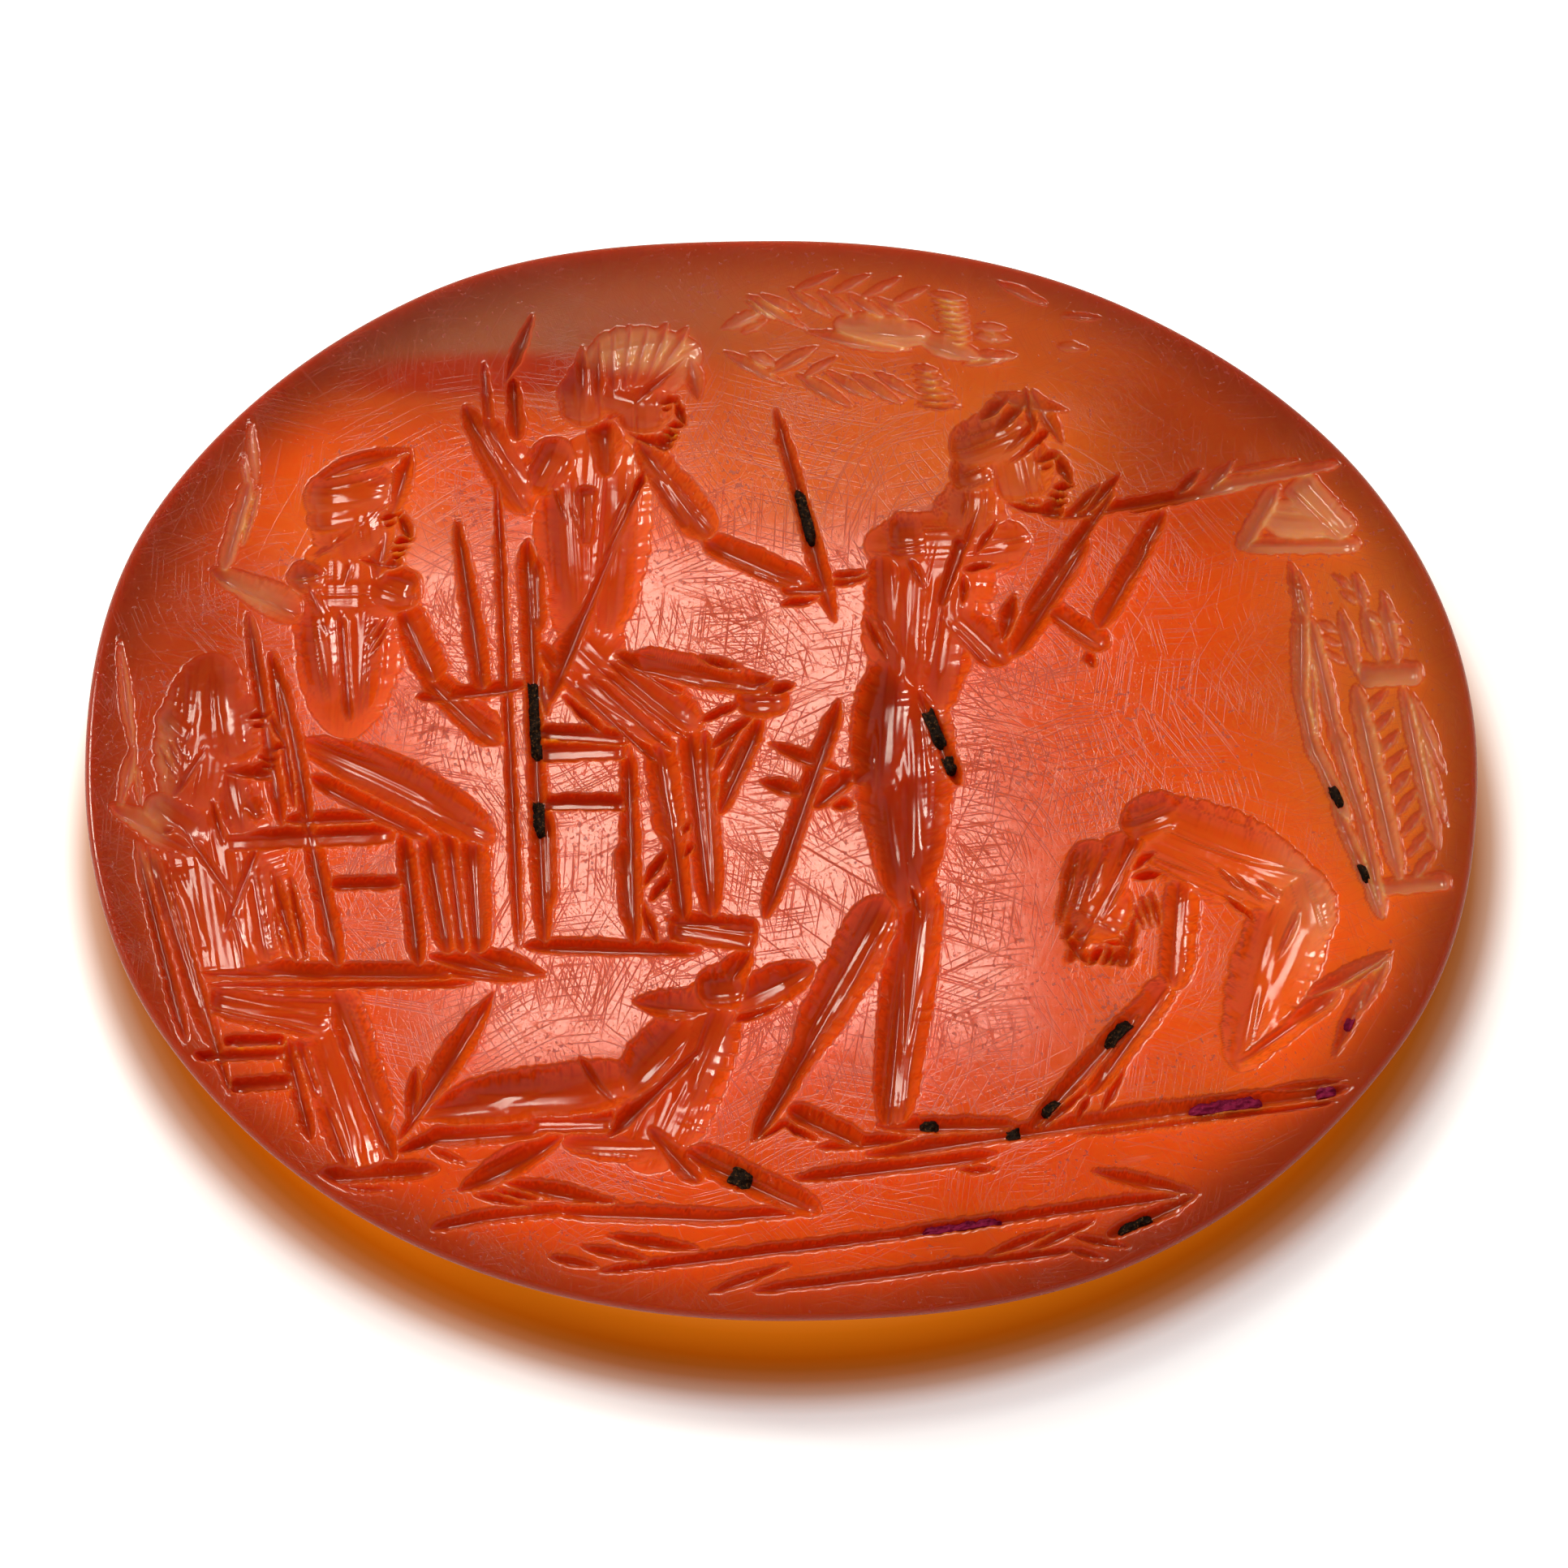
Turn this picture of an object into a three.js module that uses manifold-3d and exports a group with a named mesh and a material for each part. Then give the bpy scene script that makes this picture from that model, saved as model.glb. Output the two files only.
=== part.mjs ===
// Carnelian ringstone with a wheel-cut scene in intaglio.
// Millimetres, +Z up out of the engraved face, +X along the stone's length, +Y towards the top of the scene.
// The origin is the middle of the flat back.

import * as THREE from 'three';
import { mergeVertices } from 'three/addons/utils/BufferGeometryUtils.js';
import Module from 'manifold-3d';

// Stone blank
const stoneLength = 19;
const stoneWidth = 15.7;
const girdleHeight = 2.72;
const rimRounding = 0.12;
const domeRise = 0.76;
const backInset = 0.95;
const backBevel = 0.18;
const faceInset = 0.08;
const outlineSteps = 44;
const domeRingShares = [0.45, 0.8, 1];
const rimTurnShares = [0.5, 1];

// How far the outline swells (+) or draws in (-), every 30 degrees round from +X, as shares of its radius
const outlineSwellShares = [
  -0.007, -0.006, -0.013, -0.023, 0.015, 0.012, -0.01, 0.002, 0.009, 0.002, 0.03, 0.015,
];

// Wheels that cut the scene
const broadWheelWidth = 1;
const deepestCut = 0.46;
const cutOverrun = 0.05;
const finestWheelWidth = 0.085;

// Longest stretch of a cut between two of its stations
const longestBay = 2.4;

// Shortest edge and flattest triangle left where cuts meet
const shortestEdge = 0.003;
const flattestTriangle = 0.0008;
const mendingPasses = 12;

// Residue lodged in the cuts
const residueFilm = 0.012;
const residueFillShare = 0.62;

// Every cut is a row: start u, start v, end u, end v, start width, end width, depth and, if bent, bow.
// u and v are hundredths of the stone's half-length and half-width, widths are hundredths of the broad
// wheel's width, the depth is a hundredth of the deepest cut and the bow a hundredth of the cut's length.
// Hollows are oval, lens cuts taper to points, lines keep their width and bars have blunt ends.

// Cuts that hold residue
const lanceShares = [-0.8, 66.6, 7.7, 25.4, 20, 29, 48];
const thronePostShares = [-35.9, 22, -33.8, -34.5, 23, 30, 48];
const beltShares = [19.3, 14.7, 25.6, -4.9, 26, 25, 72];
const bowGripShares = [75.2, 8, 81.1, -8.7, 22, 22, 42];
const bowTipShares = [82, -12.8, 86.3, -27, 17, 18, 42];
const bentForearmShares = [52, -43.6, 34.8, -67.7, 30, 20, 48];
const upperGroundShares = [13.6, -66.3, 34.2, -66, 25, 21, 38];
const middleGroundShares = [12, -71.6, 48, -64.3, 22, 27, 44];
const rightGroundShares = [40, -66, 82.6, -57.4, 28, 25, 45];
const arrowBarbShares = [46.6, -85.2, 59.7, -77.3, 22, 16, 38];
const arrowShaftShares = [12, -86.3, 60, -77, 17, 15, 40];
const rearFootShares = [84.2, -37.8, 79, -52.7, 22, 17, 36];
const forelegShares = [-14.2, -70.4, 5.7, -81.6, 46, 40, 54];

// The man seated at the left, with his chair and spear
const leftChiefShares = {
  hollow: [
    [-61.3, 46, -62.6, 4.5, 180, 130, 44], [-68.5, 50, -55, 52, 98, 90, 60], [-68, 46, -58, 49, 60, 70, 56],
    [-70.8, 35, -65, 36, 52, 50, 50], [-60, 34.5, -52, 30.5, 66, 64, 60],
    [-66.5, 33, -64.5, 10.5, 78, 60, 55], [-60, 33, -60.8, 8, 78, 56, 60],
    [-69, 4.5, -41, -14.5, 66, 70, 60, 4], [-56, -3, -41.3, -15, 50, 56, 56],
    [-58, 35.8, -52, 33, 34, 40, 55],
  ],
  lens: [
    [-67, 54, -52.8, 59, 36, 26, 40, 5], [-53.2, 59, -56.5, 45, 32, 34, 42],
    [-54.5, 52, -67.5, 39, 24, 18, 50], [-61.4, 41, -63.2, 32.5, 24, 20, 48],
    [-56.6, 46, -58.6, 33, 42, 44, 50], [-69.3, 38.8, -64, 23.5, 44, 22, 50],
    [-76, 36, -69.5, 28, 34, 54, 46], [-78, -35.6, -61, -38.6, 32, 24, 50],
    [-50.6, -35.4, -33.4, -39.3, 36, 34, 50], [-49.6, -37.6, -35, -39.8, 24, 22, 46],
    [-45, -34.5, -34.3, -38.8, 30, 26, 50],
  ],
  line: [
    [-82, 37.8, -68.5, 28.5, 22, 66, 50], [-76.4, 55, -80.2, 37.3, 20, 24, 40],
    [-76.6, 29.5, -71.5, -11, 20, 26, 44], [-72.9, 20.8, -67.8, -11, 18, 24, 48, 2],
    [-68.6, -6, -63.4, -37.2, 24, 34, 48], [-63.3, 31.5, -61.8, 8, 26, 26, 66],
    [-71.5, -9.5, -54, -9.6, 18, 18, 38], [-65, -21.8, -54, -21.8, 21, 21, 42],
    [-54.2, -12.2, -51.9, -37.3, 28, 26, 50], [-84, -36.6, -45, -38.5, 24, 28, 46],
    [-83, -38.8, -44, -40.4, 16, 18, 42], [-67.6, -1.8, -50, -13.8, 30, 34, 50],
    [-66, 2.2, -46, -11, 44, 46, 46], [-50.6, -12.6, -47.6, -35, 40, 36, 50],
    [-47.8, -11.2, -45.4, -35.2, 30, 30, 50], [-44.4, -13, -43.2, -35.2, 50, 38, 56],
    [-54.6, 30, -49.4, 15, 44, 52, 56], [-51.4, 17, -40.2, 3.2, 38, 52, 52],
    [-46.6, 46, -42.5, 11, 14, 36, 48], [-52.3, 12.2, -36.4, 14, 24, 20, 44],
  ],
  bar: [
    [-80.5, -12.9, -55.3, -12.9, 30, 30, 46],
  ],
};

// The man seated at the rim
const farLeftChiefShares = {
  hollow: [
    [-81.5, 22, -84, -8, 120, 150, 44], [-82, -5, -77.5, -42, 190, 170, 38],
    [-81.5, -41.5, -60, -44, 85, 95, 44], [-66.5, -42, -59, -76, 95, 85, 42], [-81, 20, -80, 3, 76, 74, 58],
    [-89, 12, -83.5, 5, 52, 50, 44], [-79.2, 3, -77, -13.5, 64, 60, 52], [-91, -4.5, -82, -13, 62, 64, 48],
    [-77.8, -4.5, -74.4, -9, 34, 34, 54],
  ],
  lens: [
    [-81.3, 8, -87.6, -5, 24, 28, 50], [-95.3, 26, -93, 4, 13, 20, 32], [-92.8, 6, -95, -6.5, 20, 15, 32],
    [-81, -15.5, -76, -36, 28, 22, 44], [-73.3, -17, -69.3, -36, 26, 18, 48],
    [-65, -75.2, -55.4, -76.9, 18, 14, 24],
  ],
  line: [
    [-96.5, -5.3, -83, -14.5, 16, 70, 48], [-92.6, -12, -85.2, -50, 16, 22, 34],
    [-90.3, -14, -81.2, -50.5, 20, 36, 38], [-87.4, -6.5, -77.8, -24.6, 21, 21, 50],
    [-74.8, -12.5, -80, -30, 28, 22, 48], [-86.6, -17, -81.6, -34, 40, 32, 28],
    [-76.2, -14.5, -73.4, -35.5, 58, 52, 48], [-64.2, -40, -56.6, -66, 58, 46, 58],
    [-63.6, -46, -55.3, -71.6, 32, 26, 56], [-66.4, -50, -60.6, -69.5, 48, 42, 42],
    [-65.4, -60, -62, -72, 30, 26, 46], [-70.8, -49.4, -67.3, -67.5, 24, 20, 48],
    [-69.2, -49.6, -66.2, -60, 20, 18, 40], [-67, -74, -49, -73.2, 28, 28, 46],
  ],
  bar: [
    [-82, -41.2, -64.4, -46.6, 52, 62, 46], [-80, -49.3, -71, -49.3, 16, 16, 40],
    [-84.3, -51.7, -71, -51.9, 17, 19, 40], [-78.9, -57.4, -70, -56.9, 22, 22, 42],
  ],
};

// The man with the crested helmet, enthroned in the middle
const crestedChiefShares = {
  hollow: [
    [-26.4, 62, -27.8, 18, 190, 120, 46], [-31, 70, -11.5, 78, 105, 105, 38],
    [-31, 24, -24, 15, 110, 100, 46], [-43, 63, -35.5, 49, 60, 80, 42],
    [-27.5, 70.5, -16.5, 67, 72, 60, 55], [-35.3, 50, -31, 60.5, 76, 74, 58],
    [-31, 57, -29.4, 25, 82, 74, 60], [-23.3, 57, -25, 23, 82, 72, 62],
    [-31.5, 18, -16, 3, 66, 62, 54], [-24.5, 18, -11.5, 5, 66, 70, 56], [-6.5, 10.6, 1.3, 10.6, 56, 50, 50],
  ],
  lens: [
    [-28.6, 79, -28.4, 63, 30, 36, 46], [-26.3, 80.6, -26.2, 64, 27, 30, 52],
    [-24.2, 82, -24, 65, 26, 28, 52], [-21.8, 83, -22.7, 68, 26, 26, 50],
    [-19.2, 82.6, -21.6, 70, 26, 24, 50], [-16.4, 83.3, -20, 71, 28, 22, 48],
    [-13.4, 82.4, -19.4, 71, 30, 22, 46], [-13, 77.6, -25.2, 64, 26, 24, 56],
    [-13.4, 78, -11.8, 68, 22, 30, 38], [-35.6, 85.6, -39.6, 72, 14, 24, 34],
    [-21.4, 53, -25.6, 40, 30, 18, 68], [-8, 37.6, 3, 32, 20, 24, 50], [6.5, 32.3, 13.4, 34.4, 18, 13, 36],
    [0, 28.6, 5.8, 30.3, 20, 17, 40], [-35.6, 22.4, -28, 12, 30, 42, 50],
    [-34.6, 19, -33.6, 8, 18, 20, 44], [-16.8, -29.4, -5, -29.9, 18, 17, 46],
  ],
  line: [
    [-38.6, 73, -37.9, 60.5, 20, 27, 42], [-45.6, 67.6, -36.4, 46.5, 28, 58, 50],
    [-42.8, 65.5, -36, 50, 32, 40, 47], [-25.5, 64, -25, 53.5, 50, 44, 56],
    [-20.4, 52.5, -34, 9.4, 22, 32, 66], [-20.6, 60.4, -10, 41.4, 44, 62, 56],
    [-18.4, 55, -13, 43.5, 30, 30, 54], [-11.2, 41.2, 4.6, 32, 40, 42, 52], [0, 32, 7, 32, 28, 22, 46],
    lanceShares, [-22.2, 18.6, 0, 12.7, 50, 36, 52],
    [-24, 18.8, -8, 13.6, 22, 30, 54], [-30, 15, -17, -1, 18, 18, 58], [-28.5, 17.4, -15, 1.4, 18, 17, 60],
    [-17.6, 3.5, -15, -16.5, 46, 52, 52], [-15.8, -9.5, -13.9, -30, 36, 28, 52],
    [-13.3, 7.4, -9.9, -29.6, 38, 36, 55], [-11, 5, -9.5, -28.5, 30, 30, 51],
    [-9.1, -10.6, -2.8, 7.6, 26, 28, 46], [-36.9, -33.8, -11.2, -35.2, 25, 20, 44],
    [-41, 57, -37.5, -35, 13, 16, 40], [-36.5, 41.5, -35.3, 10, 30, 25, 48],
    thronePostShares, [-35.2, 38, -34.8, 24, 26, 26, 50],
    [-33.6, -9, -33.2, -27, 22, 24, 46], [-22, 3, -21, -34.4, 25, 29, 50],
    [-22.4, -15, -21.6, -31, 26, 26, 48],
  ],
  bar: [
    [-28, 52.5, -28, 41, 40, 28, 66], [-35, 5.4, -21.4, 4.1, 20, 24, 46], [-35, 1.7, -22, 1.7, 32, 32, 48],
    [-34.4, -7.8, -22, -8, 23, 23, 46], [-16, -30.5, -3.4, -32.7, 44, 46, 44],
  ],
};

// The standing man who blows a long horn
const hornBlowerShares = {
  hollow: [
    [12, 40, 36, 41, 100, 100, 44], [24, 46, 17.5, 8, 205, 135, 48], [29, 53, 25.5, 40, 90, 110, 46],
    [17, 20, 18.4, -30, 175, 90, 84], [24.6, 57, 36.5, 63.5, 98, 94, 62], [24.6, 52.5, 31, 56, 66, 74, 60],
    [15, 40.4, 21.5, 41.3, 92, 84, 60], [19.4, 41, 17.8, 7, 98, 92, 66], [25, 39, 21.6, 7, 92, 82, 66],
    [15.2, 40, 16, 21, 62, 62, 56], [16.2, 20, 14.2, -9, 90, 96, 92], [19, 3, 19, -25, 98, 82, 100],
    [15, 0, 18, -25, 74, 64, 86], [28, 54, 27.4, 42, 82, 72, 58], [69, 47, 81, 46.5, 74, 62, 34],
  ],
  lens: [
    [29.4, 61.4, 36, 69.6, 24, 20, 68], [30.4, 57.4, 37.6, 65.6, 22, 18, 68],
    [31.4, 56, 39.6, 63.6, 20, 17, 66], [35.1, 70.9, 36.6, 62, 20, 17, 62],
    [28.4, 64.6, 33, 69.6, 20, 17, 62], [30.5, 69.4, 41.4, 66.4, 28, 20, 42],
    [36, 70.6, 40.6, 60, 30, 24, 46], [37.2, 61, 36.6, 51, 36, 34, 48], [29.3, 52.2, 25.2, 36, 22, 24, 66],
    [31.3, 46.2, 27.4, 38.4, 17, 18, 66], [17.4, 41.4, 21.6, 30.6, 30, 16, 68],
    [25.4, 36.2, 31.2, 37.3, 18, 13, 72], [26.3, 35.8, 26, 28.8, 24, 15, 74],
    [12.1, 26.7, 16.4, 16.6, 22, 14, 52], [13.2, 29.7, 17.9, 17.3, 26, 15, 56],
    [31.6, 21.4, 33.6, 31.4, 23, 22, 52], [42.4, 45.4, 48.9, 54.5, 20, 15, 40],
    [56.3, 50.4, 60.4, 56, 18, 15, 36],
    [60.2, 50.8, 65.3, 58.2, 18, 16, 36], [-1.6, 2.7, 9, -2.7, 23, 21, 46],
    [-3.1, -4.3, 4.6, -6.7, 26, 22, 44],
  ],
  line: [
    [22.5, 31, 32.6, 18, 52, 60, 62], [21.4, 30, 30.6, 17.4, 24, 24, 64], [32.8, 19, 44, 42.4, 42, 32, 56],
    [35, 27, 48, 52, 24, 17, 50], [37.4, 29.6, 47, 21.4, 30, 42, 48], [45.4, 24.8, 55.2, 48.4, 36, 28, 47],
    [38.4, 45.6, 68, 53.6, 17, 22, 38], [58, 51.4, 81.2, 58.4, 24, 15, 32],
    [71.4, 53.4, 66, 40.6, 26, 25, 40], beltShares,
    [20.4, -21, 16.5, -67.4, 80, 50, 64], [18, -30, 15.2, -67, 58, 44, 62],
    [15.6, -25.6, 3, -54, 84, 58, 62], [6.4, -47, -3.9, -68.8, 48, 24, 56],
    [1, -63.3, 12.4, -69.7, 33, 30, 48], [8.4, 10.8, -2.4, -29.5, 27, 31, 50],
    [4.4, -9, 10.4, -2.6, 30, 30, 46], [10, -4.8, 20, 7.6, 30, 27, 62],
  ],
  bar: [
    [26.2, 42.7, 22.8, 29.3, 26, 16, 76], [73.8, 54.4, 81.6, 44.4, 54, 46, 34],
    [66.4, 41.6, 83.2, 42.7, 26, 27, 40],
  ],
};

// The man who crouches at the right
const crouchingManShares = {
  hollow: [
    [76, -18, 65.5, -55.5, 130, 100, 46], [50, -11, 76, -22, 110, 110, 44],
    [45, -14.5, 43, -33.5, 84, 66, 56], [49.4, -13, 43, -33, 62, 52, 55],
    [50.5, -8, 76.5, -20.5, 90, 82, 60], [55, -14, 74, -25.4, 82, 72, 60], [49, -12.4, 58, -8, 72, 80, 58],
    [74, -18.5, 77.4, -31, 76, 74, 54], [77.2, -21, 70, -42.5, 74, 66, 48],
    [71, -23, 65.4, -55.4, 76, 54, 58],
  ],
  lens: [
    [50.6, -15.6, 44.4, -32.4, 26, 22, 64], [61, -15.8, 67.6, -23.6, 15, 18, 70],
    [75.6, -21.6, 70, -37.4, 25, 27, 64], [75, -41.6, 87.7, -32.6, 25, 17, 42],
    [87.4, -33.2, 82.4, -45.2, 22, 17, 38], rearFootShares,
  ],
  line: [
    [52.4, -10, 41.2, -37, 32, 24, 60], [58, -19.6, 56.4, -41.4, 52, 46, 54],
    [56.2, -38.6, 44, -60.4, 46, 36, 50], bentForearmShares,
    [65, -53.6, 80.2, -39.8, 48, 38, 50],
  ],
  bar: [],
};

// The crouching man's beard
const beardShares = {
  hollow: [],
  lens: [
    [53, -23.8, 54.4, -30.2, 10, 9, 36], [49, -29.6, 50.4, -33.8, 10, 9, 36],
    [45.8, -32.4, 49.7, -33.4, 11, 9, 36],
  ],
  line: [],
  bar: [],
};

// The hound that lies on the ground
const houndShares = {
  hollow: [
    [-9, -41, -20.5, -74.5, 130, 140, 46], [-53, -63.4, -19, -58, 54, 92, 60],
    [-47, -60.4, -22, -60.4, 64, 74, 62], [-7.6, -43, -15, -64, 88, 90, 64],
    [-12.6, -47, -23, -61, 84, 72, 60], [-12.2, -42.4, -4.4, -41.6, 72, 62, 58],
    [-7.4, -45.4, 4.8, -38.2, 62, 52, 52], [-31.4, -69, -14, -69.6, 48, 58, 38],
  ],
  lens: [
    [-55, -68.6, -41.2, -42.3, 26, 54, 47], [-52.3, -55.2, -53.1, -66.5, 22, 22, 36],
    [-46.2, -77.2, -30.9, -67.6, 42, 50, 54], [-28.9, -54.2, -23.4, -62.2, 22, 15, 64],
    [-21.4, -44.3, -8.6, -45.6, 46, 46, 52], [-9.6, -44, -3.8, -33.9, 40, 38, 52],
    [-7.9, -48.2, 1.6, -43.4, 24, 21, 50], [-40.2, -75.5, -22.9, -80, 27, 20, 44],
  ],
  line: [
    [-51.2, -67.6, -33, -66.4, 30, 34, 44], [-10, -50, -25.2, -68.3, 22, 27, 70],
    [-19.2, -65.4, -11.4, -76.2, 34, 38, 55], forelegShares,
  ],
  bar: [
    [-36.2, -65.4, -23.6, -65.4, 30, 30, 40],
  ],
};

// The eagle at the top
const eagleShares = {
  hollow: [
    [7.6, 83.2, 22, 80.4, 54, 48, 44],
  ],
  lens: [
    [3.4, 81.6, 19.2, 77.9, 24, 26, 42], [8.8, 82.7, 21.2, 81.4, 30, 30, 50],
    [18.8, 80.8, 29.2, 76.4, 40, 34, 44], [26, 75.2, 34.2, 77.1, 17, 13, 32],
    [27.4, 77.3, 33.6, 77.2, 16, 12, 28], [-5.1, 88.9, 3.9, 81.7, 15, 13, 38],
    [-3.3, 89.1, 3.1, 84.9, 13, 11, 34], [0.9, 90.1, 7.3, 84.2, 17, 13, 38],
    [5.3, 89.7, 10.4, 84.7, 15, 13, 38], [9.4, 89.1, 15.1, 84.5, 15, 13, 38],
    [13.5, 88.5, 18.3, 84.1, 15, 13, 36], [2, 89.8, 8.5, 93.7, 16, 13, 22], [7, 89, 13.1, 93, 16, 13, 20],
    [11.5, 88.3, 17.3, 92.4, 15, 13, 20], [15.6, 87, 21.6, 90.7, 15, 13, 20],
    [27.8, 82.9, 32.6, 82.2, 14, 13, 18], [27.7, 81.1, 33.1, 80.2, 20, 18, 18],
    [31, 91.9, 38.6, 87.1, 18, 15, 26], [40.2, 85.4, 46.2, 85, 14, 12, 12],
    [39.5, 79.4, 44.4, 78.7, 18, 14, 12], [-8.4, 77.7, 0.8, 70.9, 18, 15, 40],
    [-4.7, 77.3, -0.7, 74.7, 18, 16, 24], [5.3, 78.5, -2.6, 72.9, 22, 17, 30],
    [2.2, 73.1, 10.4, 66.5, 22, 17, 42], [6.2, 73.8, 13.3, 68.2, 17, 14, 40],
    [10.1, 73.3, 17.6, 67.1, 18, 15, 42], [13.4, 73.6, 20.1, 68.2, 15, 13, 38],
    [-8.8, 81.9, -2, 86.1, 24, 20, 20], [-5.7, 81.2, -1.9, 83.9, 15, 13, 18],
    [3, 72.4, 8.2, 76.6, 14, 12, 18],
  ],
  line: [],
  bar: [],
};

// Feather combs: first row, last row and row count
const featherCombShares = [
  { first: [20.9, 89.3, 26.8, 88, 12, 9, 30], last: [23.4, 80.4, 27.6, 79.9, 10, 9, 30], count: 8 },
  { first: [19, 74.6, 22.8, 73.9, 11, 9, 28], last: [19.3, 67.3, 26, 66.8, 12, 10, 34], count: 6 },
];

// The bow at the right rim
const bowShares = {
  hollow: [],
  lens: [
    [73.1, 39.2, 75, 26.5, 15, 15, 38], [74.1, 37.2, 75.8, 28, 18, 16, 36],
  ],
  line: [
    [74.8, 31, 74.6, 12, 26, 22, 42], [74.4, 16, 76.8, 0.8, 20, 20, 42], bowGripShares,
    [79.4, -5.8, 83.6, -19.2, 18, 18, 42], bowTipShares,
    [76.1, 28.4, 79.8, 5.8, 21, 20, 42], [79.2, 9.2, 83.6, -9.2, 24, 20, 42],
    [82.7, -4.8, 86.4, -25.6, 20, 15, 42],
  ],
  bar: [],
};

// The quiver beside the bow
const quiverShares = {
  hollow: [],
  lens: [
    [80.3, 30.4, 82.9, 17.3, 18, 21, 40], [82.4, 37.2, 84, 29.8, 17, 14, 36],
    [83.7, 31, 86, 20.4, 22, 26, 38], [86.3, 34.4, 88.7, 19.8, 20, 26, 38],
    [77.1, 27.7, 80.1, 25.5, 13, 11, 20], [90.3, 15.6, 95.3, 0, 20, 17, 26],
    [91.6, 8.6, 95.6, -10, 16, 14, 24],
  ],
  line: [
    [82.4, 16.2, 88.9, -20.3, 30, 27, 44], [89.2, 16.7, 94.2, -14, 20, 20, 34],
  ],
  bar: [
    [83, 17.8, 92, 19, 34, 34, 36], [86.2, -21.3, 96, -19.3, 22, 26, 30],
  ],
};

// Slanted hatching on the quiver's body: first row, last row and row count
const quiverHatchShares = [
  { first: [83.9, 10.4, 87, 15.4, 15, 12, 30], last: [90.8, -19.2, 93.9, -13.8, 15, 12, 28], count: 9 },
];

// Ground lines and the two arrows
const groundShares = {
  hollow: [],
  lens: [
    [44.4, -73.8, 60.3, -77.3, 27, 16, 40], [-28.7, -87.3, -18.4, -89.9, 17, 13, 34],
    [-25.1, -85.5, -11.4, -88, 21, 15, 40], [-10.6, -95.6, 1.7, -90.4, 17, 12, 26],
    [5, -70.3, 20.2, -68.1, 19, 17, 42],
  ],
  line: [
    [-50.2, -83.7, -30, -80.9, 18, 22, 32, 3], [-33, -81.1, -4, -82.6, 24, 24, 34],
    [-10, -82.3, 3.2, -81.4, 18, 15, 34], [-26.2, -91.7, 20, -85, 15, 17, 38],
    arrowShaftShares, arrowBarbShares,
    [-4, -95.2, 26, -90.6, 14, 15, 30], [20, -91.4, 42.7, -87.5, 15, 13, 36],
    upperGroundShares, [1.8, -75.7, 31.2, -71.2, 20, 22, 40],
    middleGroundShares, rightGroundShares,
  ],
  bar: [],
};

// Heads with a plain profile face: middle u, middle v, height (hundredths of the half-width), lean in degrees
// and the way it faces (1 towards +X, -1 towards -X)
const headShares = [
  { u: -80.4, v: 8.4, height: 22, lean: 4, facing: 1 },
  { u: -60.6, v: 45.6, height: 18, lean: 2, facing: 1 },
  { u: -20.6, v: 67.4, height: 17, lean: -4, facing: 1 },
  { u: 33, v: 55.6, height: 21, lean: 6, facing: 1 },
  { u: 45.2, v: -25.6, height: 21, lean: 62, facing: -1 },
];

// The face in shares of the head's height, forwards and up from the head's middle: brow, eye, nose,
// underside of the nose, two lips, jaw and chin
const faceShares = {
  hollow: [[0.02, 0.28, 0.08, -0.34, 0.66, 0.6, 56], [0.2, -0.42, 0.4, -0.44, 0.17, 0.15, 52]],
  lens: [
    [0.16, 0.07, 0.43, 0.08, 0.08, 0.08, 62], [0.22, 0, 0.37, -0.01, 0.07, 0.07, 66],
    [0.37, 0.1, 0.5, -0.21, 0.1, 0.14, 58], [0.32, -0.23, 0.52, -0.21, 0.08, 0.08, 54],
    [0.28, -0.3, 0.46, -0.305, 0.07, 0.06, 52], [0.28, -0.36, 0.44, -0.365, 0.07, 0.06, 52],
    [0.4, -0.47, -0.08, -0.33, 0.1, 0.12, 54],
  ],
};

// Stations along a cut from -1 to 1, with its width and depth there as shares of the greatest.
// A cut with tips runs out to a point, and the floor share is the part of its width that lies level.
const formShares = {
  hollow: { stations: [[-0.75, 0.66, 0.7], [0, 1, 1], [0.75, 0.66, 0.7]], tips: true, floorShare: 0.4 },
  lens: { stations: [[0.1, 1, 1]], tips: true, floorShare: 0 },
  line: { stations: [[-0.8, 0.9, 0.9], [0.8, 0.9, 0.9]], tips: true, floorShare: 0 },
  bar: { stations: [[-0.94, 1, 1], [0.94, 1, 1]], tips: false, floorShare: 0.4 },
};

const hundredthShare = 0.01;
const halfLength = stoneLength / 2;
const halfWidth = stoneWidth / 2;
const faceHalfLength = halfLength - faceInset;
const faceHalfWidth = halfWidth - faceInset;
const faceEdgeHeight = girdleHeight + rimRounding;

const wasm = await Module();
wasm.setup();

// Outline swell at an angle, eased between the twelve hand-set shares
function swellAt(angle) {
  const count = outlineSwellShares.length;
  const turn = ((angle / (2 * Math.PI)) * count + count) % count;
  const before = Math.floor(turn) % count;
  const after = (before + 1) % count;
  const ease = (1 - Math.cos((turn - Math.floor(turn)) * Math.PI)) / 2;
  return 1 + outlineSwellShares[before] * (1 - ease) + outlineSwellShares[after] * ease;
}

// Box round the swelled outline of a unit circle, which the stone's length and width then fill
const outlineSpots = Array.from({ length: outlineSteps }, (_, step) => {
  const angle = (step / outlineSteps) * 2 * Math.PI;
  return new THREE.Vector2(Math.cos(angle), Math.sin(angle)).multiplyScalar(swellAt(angle));
});
const outlineBox = new THREE.Box2().setFromPoints(outlineSpots);
const outlineMiddle = outlineBox.getCenter(new THREE.Vector2());
const outlineHalf = outlineBox.getSize(new THREE.Vector2()).divideScalar(2);

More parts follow.
